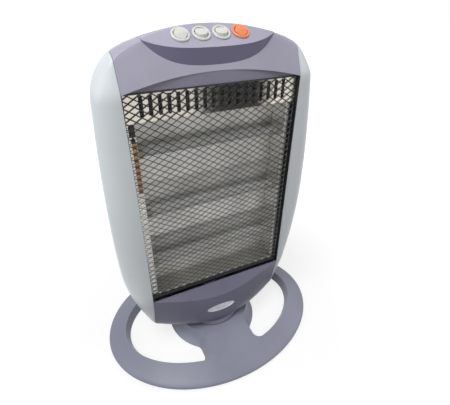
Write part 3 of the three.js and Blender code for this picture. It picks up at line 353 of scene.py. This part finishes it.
rim = ((2.4, 1.5), (1.2, 2.2), (0.4, 4.2), (0, 6.4), (0.25, 7.6), (1.0, 8.7))
rings = [inner_oval(inward, z) for inward, z in rim]
for share in (0.035, 0.08, 0.14, 0.2, 0.28, 0.36, 0.45, 0.54, 0.63, 0.72, 0.8, 0.88, 0.95, 1):
    rings.append(inner_oval(slope_run * share, base_height(slope_run * share)))
base = skinned("base_moulding_skin", rings)
underside = ((4.6, 0.5), (4.6, 3.9), (10.7, 7.2), (39, 17.4), (78, 25.6), (81.5, 26.2))
hollow = skinned("hollow", [inner_oval(inward, z) for inward, z in underside])
for side in (-1, 1):
    wall = skinned("wall", [ring_opening(z, side) for z in (-1, 0.8, 3, 6, 10, 15, 20, 25, 31)])
    carve(hollow, swollen(wall, wall_thickness), "DIFFERENCE")
    carve(base, wall, "DIFFERENCE")
well_wall = skinned("well_wall", [oval(56.6, 56.6, z, 96) for z in (18.9, 40)])
carve(hollow, well_wall, "DIFFERENCE")
carve(base, hollow, "DIFFERENCE")
well = skinned("well", [oval(radius, radius, z, 96)
                        for radius, z in ((53.4, 21.5), (53.4, 28.2), (54.2, 29.4))])
carve(base, well, "DIFFERENCE")
bore = skinned("bore", [oval(bore_radius, bore_radius, z, 48) for z in (0, 30)])
carve(base, bore, "DIFFERENCE")
smooth(base, 34)
# The base's lilac is written darker than the cap's: painted shade for the lower, less lit part.
base_lilac_shaded = moulded("base_lilac_shaded", (139, 141, 158), rough=0.36, grain=0.14)
dress(base, base_lilac_shaded, "base", "base_moulding")


# ---- Underside of the base ----------------------------------------------
# A zinc-plated steel plate closes the base and gives it weight. Four rubber
# rings stand under it, each held by a pan-head screw; a lever switch sits at
# the rear, its plunger resting on the floor.
def plated(name, colour, rough=0.34, streak=260):
    """Zinc plate or bare sheet: faint rolling streaks and a soft spangle."""
    made, shader, nodes, join = new_material(name)
    shader.inputs["Metallic"].default_value = 1
    place = object_place(nodes)
    stretch = nodes.new("ShaderNodeMapping")
    stretch.inputs["Scale"].default_value = (1, 12, 12)
    join(place, stretch.inputs["Vector"])
    lines = noise(nodes, join, stretch.outputs["Vector"], streak)
    spangle = nodes.new("ShaderNodeTexVoronoi")
    spangle.inputs["Scale"].default_value = 110
    join(place, spangle.inputs["Vector"])
    dark = [value * 0.9 for value in colour]
    join(tones(nodes, join, spangle.outputs["Distance"], dark, colour),
         shader.inputs["Base Color"])
    join(spread(nodes, join, lines, rough - 0.08, rough + 0.12), shader.inputs["Roughness"])
    join(relief(nodes, join, lines, 0.1, 0.0002), shader.inputs["Normal"])
    return made


def refinish(names, material):
    """A better finish on solids that stay as they are."""
    for name in names:
        mesh = node[name].data
        mesh.materials.clear()
        mesh.materials.append(material)


def numbered(stem, count):
    return [f"{stem}_{number}" for number in range(1, count + 1)]


zinc = plated("zinc_plate", (186, 189, 192))
rubber = moulded("black_rubber", (38, 38, 42), rough=0.8, grain=0.5, drift=0.15)
ivory = moulded("ivory_plastic", (226, 227, 221), rough=0.3, grain=0.05, drift=0.02)
black = moulded("black_plastic", (34, 34, 38), rough=0.5, grain=0.3, drift=0.1)
refinish(["base_plate", "pivot_tube", "retaining_nut", "link_arm"], zinc)
refinish(numbered("foot_pad", 4), rubber)
refinish(numbered("base_screw", 4), zinc)
refinish(["tilt_switch"], black)
refinish(["tilt_plunger"], ivory)

# ---- Turntable skirt ----------------------------------------------------
# A domed skirt in the same lilac, screwed under the body and turning with it
# inside the base's collar. It closes the ring-shaped gap around the pivot;
# its top is trimmed to the chin further on.
profile = [(50.5, 22.0), (52.7, 23.5), (52.7, 28.9), (52.3, 30.2), (51.2, 31.9), (49.6, 33.3),
           (47.4, 34.6), (45.0, 35.6), (42.6, 36.6), (40.2, 37.4), (38.5, 37.9)]
skirt = skinned("turntable_skirt_skin", [oval(radius, radius, z, 112) for radius, z in profile])
# The skirt's lilac is written darker than the cap's: painted shade under the body.
skirt_lilac_shaded = moulded("skirt_lilac_shaded", (124, 124, 142), rough=0.38, grain=0.14)

# ---- Body form ----------------------------------------------------------
# The white shell, the lilac cap and the chin share one swollen form. Its
# outline is taken level by level: front with its corners, side, rear.
crest = 523.6
crown_radius = 325
crown_centre = crest - crown_radius
shoulder_radius = 63
shoulder_x = 85.3
shoulder_z = crown_centre + math.sqrt((crown_radius - shoulder_radius) ** 2 - shoulder_x ** 2)
shoulder_lean = (shoulder_z - crown_centre) / (crown_radius - shoulder_radius)
body_foot = 35
guard_foot = 127
guard_head = 461
front_plane = -39
front_bulge = 5.4
cap_lean = 0.4452
chin_lean = 0.2028
rear_plane = 60
rear_roll_z = 430
seam_x = 117.5
wall = 3


def quarter(share):
    """Rises from 0 to 1 along a quarter of a circle."""
    return 1 - math.sqrt(1 - min(max(share, 0), 1) ** 2)


def half_width(z, inset):
    if z <= shoulder_z:
        tuck = 53 * quarter((180 - z) / 150) if z < 180 else 0
        return 156.3 - (z - 262) ** 2 / 4260 - tuck - inset
    if z <= crown_centre + (crown_radius - inset) * shoulder_lean:
        return shoulder_x + math.sqrt((shoulder_radius - inset) ** 2 - (z - shoulder_z) ** 2)
    return math.sqrt(max((crown_radius - inset) ** 2 - (z - crown_centre) ** 2, 0))


def front_y(z, inset):
    brow = 509.5 - inset / 2
    if z > brow:
        share = math.sqrt(max(crest - inset - z, 0) / (crest - inset - brow))
        brow_y = front_plane + (brow - guard_head) * cap_lean + inset
        return brow_y * share * share - 22.2 * share * (1 - share)
    if z > guard_head:
        return front_plane + (z - guard_head) * cap_lean + inset
    if z > guard_foot:
        middle = (guard_foot + guard_head) / 2
        away = (z - middle) / (guard_head - middle)
        return front_plane - front_bulge * (1 - away ** 2) + inset
    fillet = 22 * quarter((58 - z) / 23) if z < 58 else 0
    return front_plane + chin_lean * (guard_foot - z) + fillet + inset


def rear_y(z, inset):
    if z > rear_roll_z:
        run = crest - rear_roll_z - inset
        return (rear_plane - inset) * math.sqrt(max(1 - ((z - rear_roll_z) / run) ** 2, 0))
    tuck = 16 * quarter((150 - z) / 118) if z < 150 else 0
    return rear_plane - inset - tuck


def body_ring(z, inset, crown=0):
    """One level of the body, with the front crowned forward where it is asked for."""
    width, front, rear = half_width(z, inset), front_y(z, inset), rear_y(z, inset)
    lowered = min(max((330 - z) / 230, 0), 1) ** 2.6
    raised = min(max((z - 480) / 43.6, 0), 1)
    depth = min(24 + 36 * lowered - 16 * raised - inset, (rear - front) * 0.45)
    corner = min(max(width - seam_x, 9), width * 0.4)
    seam = width - corner
    taper = min(5, width * 0.1)
    rear_run = min(45, width * 0.45)
    rear_rise = min(45, (rear - front - depth) * 0.7)
    half = []
    for step in range(8):
        share = step / 8
        half.append((share * seam, front - crown * (1 - share * share), z))
    for step in range(13):
        angle = math.radians(90 * step / 12)
        half.append((seam + corner * math.sin(angle), front + depth * (1 - math.cos(angle)), z))
    for step in range(11):
        angle = math.radians(90 * step / 10)
        x = width - taper - rear_run * (1 - math.cos(angle))
        half.append((x, rear - rear_rise * (1 - math.sin(angle)), z))
    for step in range(1, 5):
        half.append(((width - taper - rear_run) * (1 - step / 4), rear, z))
    lower = [(-x, y, z) for x, y, z in reversed(half[1:-1])]
    return half + lower


def body_solid(name, inset, bottom=None):
    levels = [body_foot + (guard_foot - body_foot) * (step / 16) ** 1.7 for step in range(17)]
    levels += [guard_foot + (shoulder_z - guard_foot) * step / 18 for step in range(1, 19)]
    levels += [shoulder_z + (shoulder_radius - inset) * math.sin(math.radians(angle))
               for angle in (6, 12, 18, 24, 30, 36, 42, 48, 54, 60)]
    tangent = crown_centre + (crown_radius - inset) * shoulder_lean
    top = crest - inset
    levels = [z for z in levels if z < tangent - 0.5] + [tangent]
    levels += [top - (top - tangent) * share ** 2
               for share in (0.9, 0.8, 0.7, 0.6, 0.5, 0.4, 0.3, 0.2, 0.12, 0.05)]
    rings = [body_ring(z, inset) for z in levels]
    if bottom:
        rings.insert(0, [(x, y, bottom) for x, y, z in rings[0]])
    return skinned(name, rings)


# ---- Rear shell ---------------------------------------------------------
# A glossy white ABS tray that wraps from one seam round the back to the
# other. It has a flange along each seam, vent rows at the back, a slot at
# each shoulder for the fingers and four sunk screws.
def front_to_back(name, outline, y0, y1):
    """A column along the depth, with its outline as seen from the front."""
    return skinned(name, [[(x, y, z) for x, z in outline] for y in (y0, y1)])


def side_to_side(name, outline, half):
    """A column across the width, with its outline as seen from the side."""
    return skinned(name, [[(x, y, z) for y, z in outline] for x in (-half, half)])


def disc(x, z, radius, count=32):
    turns = [step / count * 2 * math.pi for step in range(count)]
    return [(x + radius * math.cos(angle), z + radius * math.sin(angle)) for angle in turns]


shell_seam = 117.8
flange_edge = 120.2
vent_rows, vent_pitch, vent_height = 4, 13, 5
vent_half = 37
seat_radius, head_radius, shank_radius = 7.5, 4.3, 2.3
inlet_radius = 6.3
shell = body_solid("rear_shell_skin", 0)
carve(shell, body_solid("space", wall, body_foot - 2), "DIFFERENCE")
carve(shell, cuboid("front", -shell_seam, shell_seam, -120, 8.3, 0, 600), "DIFFERENCE")
for side in (-1, 1):
    low, high = sorted((side * shell_seam, side * flange_edge))
    flange = body_solid("flange", 0.2)
    carve(flange, cuboid("slab", low, high, -80, -27, 107, 465), "INTERSECT")
    carve(shell, flange, "UNION")
for row in range(vent_rows):
    for column in (-45, 45):
        for bottom in (150, 300):
            z = bottom + vent_pitch * row
            low, high = column - vent_half, column + vent_half
            vent = cuboid("vent", low, high, 40, 80, z, z + vent_height)
            carve(shell, vent, "DIFFERENCE")
for side in (-1, 1):
    low, high = sorted((side * 105, side * 157))
    carve(shell, cuboid("grip", low, high, 8, 42, 470, 479), "DIFFERENCE")
for x, z in ((-88, 100), (88, 100), (-75, 480), (75, 480)):
    outer = rear_y(z, 0)
    carve(shell, front_to_back("seat", disc(x, z, seat_radius), outer - 6, outer - 0.8), "UNION")
    for radius, near in ((head_radius, outer - 3), (shank_radius, outer - 20)):
        carve(shell, front_to_back("hole", disc(x, z, radius), near, outer + 20), "DIFFERENCE")
carve(shell, front_to_back("inlet", disc(62, 72, inlet_radius), 30, 80), "DIFFERENCE")
smooth(shell, 30)
white = moulded("white_plastic", (221, 227, 231), rough=0.3, grain=0.05, drift=0.015)
dress(shell, white, "heater_body", "rear_shell")

# ---- Cap with the switch panel ------------------------------------------
# One lilac moulding from the head of the guard over the crest. A lens-shaped
# platform leans back on top of it, standing clear of the sloping front by a
# crescent wall darkened by painted shade, and an arched strip above the guard is set back.
cover_half = 117.35
cover_back = 7.7
band_y = -31.9
band_thickness = 2.6
band_top = 476.3
band_rise = 15.3
panel_front = -31.3
panel_front_z = 502.4
panel_slope = 0.6613
panel_half = 83.9
panel_undercut = 0.1


def arched_strip(bottom):
    """The set-back strip above the guard, as seen from the front."""
    radius = (seam_x ** 2 + band_rise ** 2) / (2 * band_rise)
    outline = []
    for step in range(49):
        x = seam_x - 2 * seam_x * step / 48
        outline.append((x, band_top - radius + math.sqrt(radius ** 2 - x ** 2)))
    edge = seam_x + 2
    return outline + [(-edge, guard_head), (-edge, bottom), (edge, bottom), (edge, guard_head)]


def panel_height(y):
    return panel_front_z + panel_slope * (y - panel_front)


def over_panel(sink):
    """All that lies above the panel's sloping face."""
    low, high = panel_height(-60) - sink, panel_height(30) - sink
    return side_to_side("over", [(-60, low), (30, high), (30, 620), (-60, 620)], 100)


def panel_lump(name, inset, bottom):
    """The platform: a curved front edge, the crown's arc and the sloping top."""
    half = panel_half - inset * 2
    edge = []
    for step in range(61):
        x = -half + 2 * half * step / 60
        edge.append((x, panel_front + 5.915e-4 * x ** 2 + 2.223e-7 * x ** 4 + inset))
    edge += [(half, 4), (-half, 4)]
    rings = [[(x, y + panel_undercut * (panel_front_z - z), z) for x, y in edge]
             for z in (bottom, 527)]
    lump = skinned(name, rings)
    arc = []
    for step in range(61):
        x = (half + 2) * (1 - 2 * step / 60)
        arc.append((x, crown_centre + math.sqrt((crown_radius - inset) ** 2 - x ** 2)))
    arc += [(-half - 2, 440), (half + 2, 440)]
    carve(lump, front_to_back("arc", arc, -60, 30), "INTERSECT")
    carve(lump, over_panel(inset * 1.2), "DIFFERENCE")
    return lump


def deepen(material, shade):
    """Multiplies a material's colour by a painted shade from its own node tree."""
    tree = material.node_tree
    deep = tree.nodes.new("ShaderNodeMix")
    deep.data_type = "RGBA"
    deep.blend_type = "MULTIPLY"
    deep.inputs["Factor"].default_value = 1
    colour = tree.nodes["Principled BSDF"].inputs["Base Color"]
    tree.links.new(colour.links[0].from_socket, deep.inputs["A"])
    tree.links.new(shade, deep.inputs["B"])
    tree.links.new(deep.outputs["Result"], colour)


cap = body_solid("top_cover_skin", 0)
carve(cap, body_solid("inner", wall), "DIFFERENCE")
carve(cap, front_to_back("scoop", arched_strip(451), -80, band_y), "DIFFERENCE")
band = cuboid("band", -cover_half, cover_half, band_y, band_y + band_thickness, guard_head, 481)
carve(band, body_solid("outside", 0.02), "INTERSECT")
carve(cap, band, "UNION")
under = panel_lump("under", wall, 470)
lump = panel_lump("lump", 0, 478)
carve(lump, under, "DIFFERENCE", keep=True)
carve(cap, under, "DIFFERENCE")
carve(cap, over_panel(0), "DIFFERENCE")
carve(cap, lump, "UNION")
carve(cap, cuboid("keep", -cover_half, cover_half, -80, cover_back, guard_head, 600), "INTERSECT")
smooth(cap, 17)
cap_lilac = moulded("cap_lilac", (174, 171, 189), rough=0.42, grain=0.2)
nodes = cap_lilac.node_tree.nodes
join = cap_lilac.node_tree.links.new
# Faces that stand upright get a darker, bluer colour than faces that look up: painted shade, as if
# all light came from above.
facing = nodes.new("ShaderNodeNewGeometry")
parts = nodes.new("ShaderNodeSeparateXYZ")
painted_upright_shade = nodes.new("ShaderNodeValToRGB")
painted_upright_shade.color_ramp.elements[0].position = 0.12
painted_upright_shade.color_ramp.elements[1].position = 0.36
painted_upright_shade.color_ramp.elements[0].color = (0.42, 0.393, 0.51, 1)
painted_upright_shade.color_ramp.elements[1].color = (1, 1, 1, 1)
join(facing.outputs["Normal"], parts.inputs["Vector"])
join(parts.outputs["Z"], painted_upright_shade.inputs["Fac"])
deepen(cap_lilac, painted_upright_shade.outputs["Color"])
dress(cap, cap_lilac, "heater_body", "top_cover")
# The faces of the set-back band get a darker lilac: painted shade under the ledge above them.
cap.data.materials.append(moulded("band_lilac_painted_shade", (148, 145, 164), rough=0.42, grain=0.2))
for face in cap.data.polygons:
    away = abs(face.center.y * 1000 - band_y)
    if away < 0.2 and face.center.z * 1000 < band_top + 0.3:
        face.material_index = 1


# ---- Chin ---------------------------------------------------------------
# The lower lilac cover: crowned across, rolled under at the foot, with a
# lens-shaped facet that drops forward from the foot of the guard.
def chin_solid(name, inset):
    rings = []
    for step in range(29):
        z = body_foot + 96 * (step / 28) ** 1.5
        rings.append(body_ring(z, inset, 12 + 0.2736 * (guard_foot - z)))
    if inset > 0:
        rings.insert(0, [(x, y, body_foot - 1) for x, y, z in rings[0]])
    return skinned(name, rings)


def facet_cut(sink):
    """All that lies in front of the facet, or of its inner face."""
    foot = 37 - sink
    outline = [(-1.5, 187 - sink), (-95.25, foot), (-155.25, foot), (-160, 220), (-1.5, 220)]
    return side_to_side("facet", outline, 140)


badge_x, badge_z = -3, 77
badge_half_x, badge_half_z = 26, 7.4


def badge_column(name, grow):
    outline = []
    for step in range(64):
        angle = step / 64 * 2 * math.pi
        outline.append((badge_x + (badge_half_x + grow) * math.cos(angle),
                        badge_z + (badge_half_z + grow) * math.sin(angle)))
    return front_to_back(name, outline, -80, -30)


chin = chin_solid("bottom_cover_skin", 0)
carve(chin, facet_cut(0), "DIFFERENCE")
carve(chin, cuboid("keep", -cover_half, cover_half, -80, cover_back, 20, guard_foot), "INTERSECT")
inside = chin_solid("inside", wall)
carve(inside, facet_cut(3.6), "DIFFERENCE")
carve(chin, inside, "DIFFERENCE")
pocket = badge_column("pocket", 0.3)
carve(pocket, chin_solid("floor_of_pocket", 1.2), "DIFFERENCE")
carve(chin, pocket, "DIFFERENCE")
smooth(chin, 24)
# The chin's lilac is written darker than the cap's: painted shade low on the front, where faces
# look down.
chin_lilac_shaded = moulded("chin_lilac_shaded", (114, 112, 132), rough=0.36, grain=0.16)
dress(chin, chin_lilac_shaded, "heater_body", "bottom_cover")

carve(skirt, chin_solid("clear", -0.3), "DIFFERENCE")
carve(skirt, cuboid("level", -90, 90, -40, 90, body_foot - 0.3, 60), "DIFFERENCE")
smooth(skirt, 34)
dress(skirt, skirt_lilac_shaded, "heater_body", "turntable_skirt")

# ---- Badge --------------------------------------------------------------
# A thin oval plate of satin aluminium, pressed with a raised rim and glued
# into the chin. It is left blank.
badge_thickness = 0.9
badge_rim = 1.5
badge_field_depth = 0.35
plate = badge_column("badge_skin", 0)
carve(plate, chin_solid("face", 0), "INTERSECT")
carve(plate, chin_solid("rear_of_badge", badge_thickness), "DIFFERENCE")
field = badge_column("field", -badge_rim)
carve(field, chin_solid("depth", badge_field_depth), "DIFFERENCE")
carve(plate, field, "DIFFERENCE")
smooth(plate, 30)
satin = plated("satin_aluminium", (232, 233, 236), rough=0.4, streak=500)
dress(plate, satin, "heater_body", "badge")


# ---- Guard --------------------------------------------------------------
# Diamond mesh of black enamelled steel wire, welded into a narrow frame with
# a deeper strip along its foot and a return at each side.
def enamelled(name, colour):
    """Black stoved enamel: smooth, slightly uneven, faint dust on top."""
    made, shader, nodes, join = new_material(name)
    shader.inputs["Coat Weight"].default_value = 0.1
    cloud = noise(nodes, join, object_place(nodes), 160)
    dusty = [value * 1.5 for value in colour]
    join(tones(nodes, join, cloud, colour, dusty), shader.inputs["Base Color"])
    join(spread(nodes, join, cloud, 0.28, 0.5), shader.inputs["Roughness"])
    return made


wire_radius = 0.56
wire_sides = 6
strand_half = 260
strands_each_way = 34
cell_x, cell_z = 13.8, 8.86
mesh_middle_z = 299
front_layer, rear_layer = -33.15, -32.75
lean = math.atan2(cell_z, cell_x)
corners = []
faces = []
for direction, depth in ((-1, front_layer), (1, rear_layer)):
    along = Vector((math.cos(lean), 0, direction * math.sin(lean)))
    across = Vector((-direction * math.sin(lean), 0, math.cos(lean)))
    for count in range(-strands_each_way, strands_each_way + 1):
        away = count * cell_x * math.sin(lean)
        centre = Vector((0, depth, mesh_middle_z)) + across * away
        first = len(corners)
        for end in (-strand_half, strand_half):
            for step in range(wire_sides):
                angle = step / wire_sides * 2 * math.pi
                spoke = across * math.cos(angle) + Vector((0, math.sin(angle), 0))
                corners.append((centre + along * end + spoke * wire_radius) / 1000)
        for step in range(wire_sides):
            after = (step + 1) % wire_sides
            faces.append((first + step, first + after,
                          first + wire_sides + after, first + wire_sides + step))
mesh = bpy.data.meshes.new("guard_mesh_skin")
mesh.from_pydata(corners, [], faces)
guard = bpy.data.objects.new("guard_mesh_skin", mesh)
bpy.context.collection.objects.link(guard)
pick(guard)
bpy.ops.object.mode_set(mode="EDIT")
for spot, normal in (((-0.1166, 0, 0), (-1, 0, 0)), ((0.1166, 0, 0), (1, 0, 0)),
                     ((0, 0, 0.1350), (0, 0, -1)), ((0, 0, 0.460), (0, 0, 1))):
    bpy.ops.mesh.select_all(action="SELECT")
    bpy.ops.mesh.bisect(plane_co=spot, plane_no=normal, use_fill=True, clear_outer=True)
bpy.ops.mesh.select_all(action="SELECT")
bpy.ops.mesh.normals_make_consistent(inside=False)
bpy.ops.object.mode_set(mode="OBJECT")

border_half = 117.2
border_foot, border_head = 127.3, 460.7
border_front, border_back = -33.6, -32.4
return_front = -38.4
bars = []
for side in (-1, 1):
    for inner, near in ((116.0, border_front), (116.6, return_front)):
        low, high = sorted((side * inner, side * border_half))
        bars.append(cuboid("bar", low, high, near, border_back, border_foot, border_head))
for bottom, top in ((border_foot, 135.3), (459.4, border_head)):
    bars.append(cuboid("bar", -border_half, border_half, border_front, border_back, bottom, top))
pick(guard)
for bar in bars:
    bar.select_set(True)
bpy.ops.object.join()
enamel = enamelled("black_enamel", (12, 12, 14))
dress(guard, enamel, "heater_body", "guard_mesh")


# ---- Slotted strip, reflector and side frames ---------------------------
# Bright aluminium behind the guard: a strip with eighteen slots and a rolled
# lower edge, and a rippled, stretched reflector with three shallow troughs.
def polished(name, colour, rough, ripple, size):
    """Thin polished sheet that has pulled and creased when it was pressed."""
    made, shader, nodes, join = new_material(name)
    shader.inputs["Metallic"].default_value = 0.85
    place = object_place(nodes)
    crease = noise(nodes, join, place, size, detail=5, roughness=0.6)
    cloud = noise(nodes, join, place, 14, detail=3)
    dark = [value * 0.86 for value in colour]
    join(tones(nodes, join, cloud, dark, colour, 0.35, 0.65), shader.inputs["Base Color"])
    join(spread(nodes, join, crease, rough * 0.7, rough * 1.4), shader.inputs["Roughness"])
    join(relief(nodes, join, crease, ripple, 0.002), shader.inputs["Normal"])
    return made


def paint_light_bands(material, stops, waver=0.012):
    """Painted light and shade in bands along a sheet: pairs of a place from left to right and a
    share.
    """
    reach = 120
    nodes = material.node_tree.nodes
    join = material.node_tree.links.new
    place = object_place(nodes)
    blotch = noise(nodes, join, place, 90)
    parts = nodes.new("ShaderNodeSeparateXYZ")
    join(place, parts.inputs["Vector"])
    shift = nodes.new("ShaderNodeMath")
    shift.operation = "MULTIPLY_ADD"
    shift.inputs[1].default_value = waver
    join(blotch, shift.inputs[0])
    join(parts.outputs["X"], shift.inputs[2])
    along = spread(nodes, join, shift.outputs["Value"], 0, 1, -reach / 1000, reach / 1000)
    ramp = nodes.new("ShaderNodeValToRGB")
    elements = ramp.color_ramp.elements
    elements.remove(elements[1])
    for number, (x, share) in enumerate(stops):
        spot = (x + reach) / (2 * reach)
        stop = elements[0] if number == 0 else elements.new(spot)
        stop.position = spot
        stop.color = (share, share, share, 1)
    join(along, ramp.inputs["Fac"])
    deepen(material, ramp.outputs["Color"])


strip_metal = polished("strip_aluminium", (222, 216, 204), 0.28, 0.15, 60)
# The strip is painted nearly black in the middle and bright at both ends: a painted reflection of
# its surroundings.
paint_light_bands(strip_metal, [(-118, 0.9), (-28, 0.8), (-8, 0.2), (10, 0.06), (62, 0.06), (78, 0.5), (92, 1)])
refinish(["top_strip"], strip_metal)

reflector_half = 105.9
sheet_thickness = 1.2
trough_count = 3
trough_steps = 24
trough_foot, trough_run = 138, 287
ridge_y, trough_depth = -1, 6
lip_front, lip_root = -31.8, -28
last = trough_count * trough_steps
face = [(lip_front, 136.2), (lip_front, 139.4)]
for step in range(last + 1):
    share = (step % trough_steps) / trough_steps
    y = ridge_y + trough_depth * math.sin(math.pi * share) ** 0.8
    face.append((lip_root if step in (0, last) else y, trough_foot + trough_run * step / last))
outline = face + [(y + sheet_thickness, z) for y, z in reversed(face)]
reflector = side_to_side("reflector_skin", outline, reflector_half)
smooth(reflector, 40)
reflector_metal = polished("reflector_aluminium", (206, 205, 199), 0.36, 0.6, 90)
dress(reflector, reflector_metal, "heater_body", "reflector")

bright = polished("side_frame_sheet", (238, 236, 230), 0.3, 0.3, 120)
# The right side frame is painted dimmer past 107 mm and near black past 112.5 mm: painted shade in
# the gap beside the shell.
frame_shade_bands = [(-118, 1), (106.6, 1), (107, 0.5), (112, 0.4), (112.5, 0.04), (118, 0.04)]
paint_light_bands(bright, frame_shade_bands, waver=0)
refinish(["side_plate_left", "side_plate_right"], bright)
dull = plated("bracket_steel", (150, 148, 144), rough=0.45)
refinish(["motor_bracket"], dull)

# ---- Quartz tubes -------------------------------------------------------
# Milky quartz with a wound element inside, in unglazed ceramic end holders;
# a copper strip joins the left ends.
milky, shader, nodes, join = new_material("milky_quartz")
shader.inputs["Base Color"].default_value = linear(236, 236, 232)
shader.inputs["Transmission Weight"].default_value = 0.2
shader.inputs["IOR"].default_value = 1.46
drawn = noise(nodes, join, object_place(nodes), 300)
join(spread(nodes, join, drawn, 0.12, 0.3), shader.inputs["Roughness"])
refinish(numbered("quartz_tube", 3), milky)
ceramic = moulded("unglazed_ceramic", (196, 192, 184), rough=0.75, grain=0.5, drift=0.04)
refinish(numbered("tube_cap_left", 3) + numbered("tube_cap_right", 3), ceramic)
copper = plated("copper_strip", (150, 118, 86), rough=0.4)
refinish(["bus_strip"], copper)
heat_wire = plated("resistance_wire", (130, 126, 120), rough=0.5)
refinish(numbered("filament", 3), heat_wire)

# ---- Switches -----------------------------------------------------------
# Four round rocker switches pressed into the panel: a raised soft-edged
# bezel, and a round rocker with a ridge across its middle.
switch_pitch = 25.45
switch_y = -13.6
rocker_radius = 7.4
rocker_foot, rocker_top, rocker_ridge = -4.2, 7.8, 4.2
rocker_slope = math.radians(7)
rocker_tilt = 14
pressed_at_front = (0, 3)
edge_softness = 0.0011
profile = [(9.8, -15), (9.8, 0.1), (11.0, 0.15), (11.35, 0.5), (11.4, 0.9), (11.2, 1.5),
           (10.8, 2.0), (10.3, 2.35), (9.8, 2.5), (9.4, 2.45), (8.9, 2.2), (8.6, 1.8),
           (8.4, 1.2), (8.4, -6.5)]
orange = moulded("orange_plastic", (255, 150, 104), rough=0.28, grain=0.04, drift=0.03)
panel_tilt = math.atan(panel_slope)
for index in range(4):
    number = index + 1
    centre = Vector(((index - 1.5) * switch_pitch, switch_y, panel_height(switch_y)))
    seat = Matrix.Translation(centre / 1000) @ Matrix.Rotation(panel_tilt, 4, "X")
    colour = orange if index == 3 else ivory
    bezel = skinned(f"switch_housing_{number}_skin",
                    [oval(radius, radius, z, 64) for radius, z in profile])
    bezel.data.transform(seat)
    smooth(bezel, 50)
    dress(bezel, colour, "heater_body", f"switch_housing_{number}")

    bpy.ops.object.select_all(action="DESELECT")
    bpy.ops.mesh.primitive_cylinder_add(
        vertices=64, radius=rocker_radius / 1000, depth=(rocker_top - rocker_foot) / 1000,
        location=(0, 0, (rocker_top + rocker_foot) / 2000))
    bpy.ops.object.transform_apply(location=True)
    key = bpy.context.object
    key.name = f"rocker_{number}_skin"
    bpy.ops.object.mode_set(mode="EDIT")
    for side in (-1, 1):
        bpy.ops.mesh.select_all(action="SELECT")
        bpy.ops.mesh.bisect(plane_co=(0, 0, rocker_ridge / 1000), use_fill=True, clear_outer=True,
                            plane_no=(0, side * math.sin(rocker_slope), math.cos(rocker_slope)))
    bpy.ops.mesh.select_all(action="SELECT")
    bpy.ops.mesh.normals_make_consistent(inside=False)
    bpy.ops.object.mode_set(mode="OBJECT")
    soft = key.modifiers.new("soft", "BEVEL")
    soft.width = edge_softness
    soft.segments = 4
    soft.limit_method = "ANGLE"
    soft.angle_limit = math.radians(40)
    bpy.ops.object.modifier_apply(modifier=soft.name)
    lean_key = math.radians(rocker_tilt if index in pressed_at_front else -rocker_tilt)
    key.data.transform(seat @ Matrix.Rotation(lean_key, 4, "X"))
    smooth(key, 40)
    dress(key, colour, f"rocker_{number}", f"rocker_{number}")

# ---- Inner and rear small parts -----------------------------------------
# Swing motor, crank and terminal block sit inside, and the cut-out is on
# the side frame; the cord bush and the screw heads show at the back.
refinish(["motor"], zinc)
refinish(["crank", "terminal_block"], ivory)
refinish(["floor_tray", "thermal_cutout", "cord_gland"], black)
refinish(numbered("rear_screw", 4), zinc)
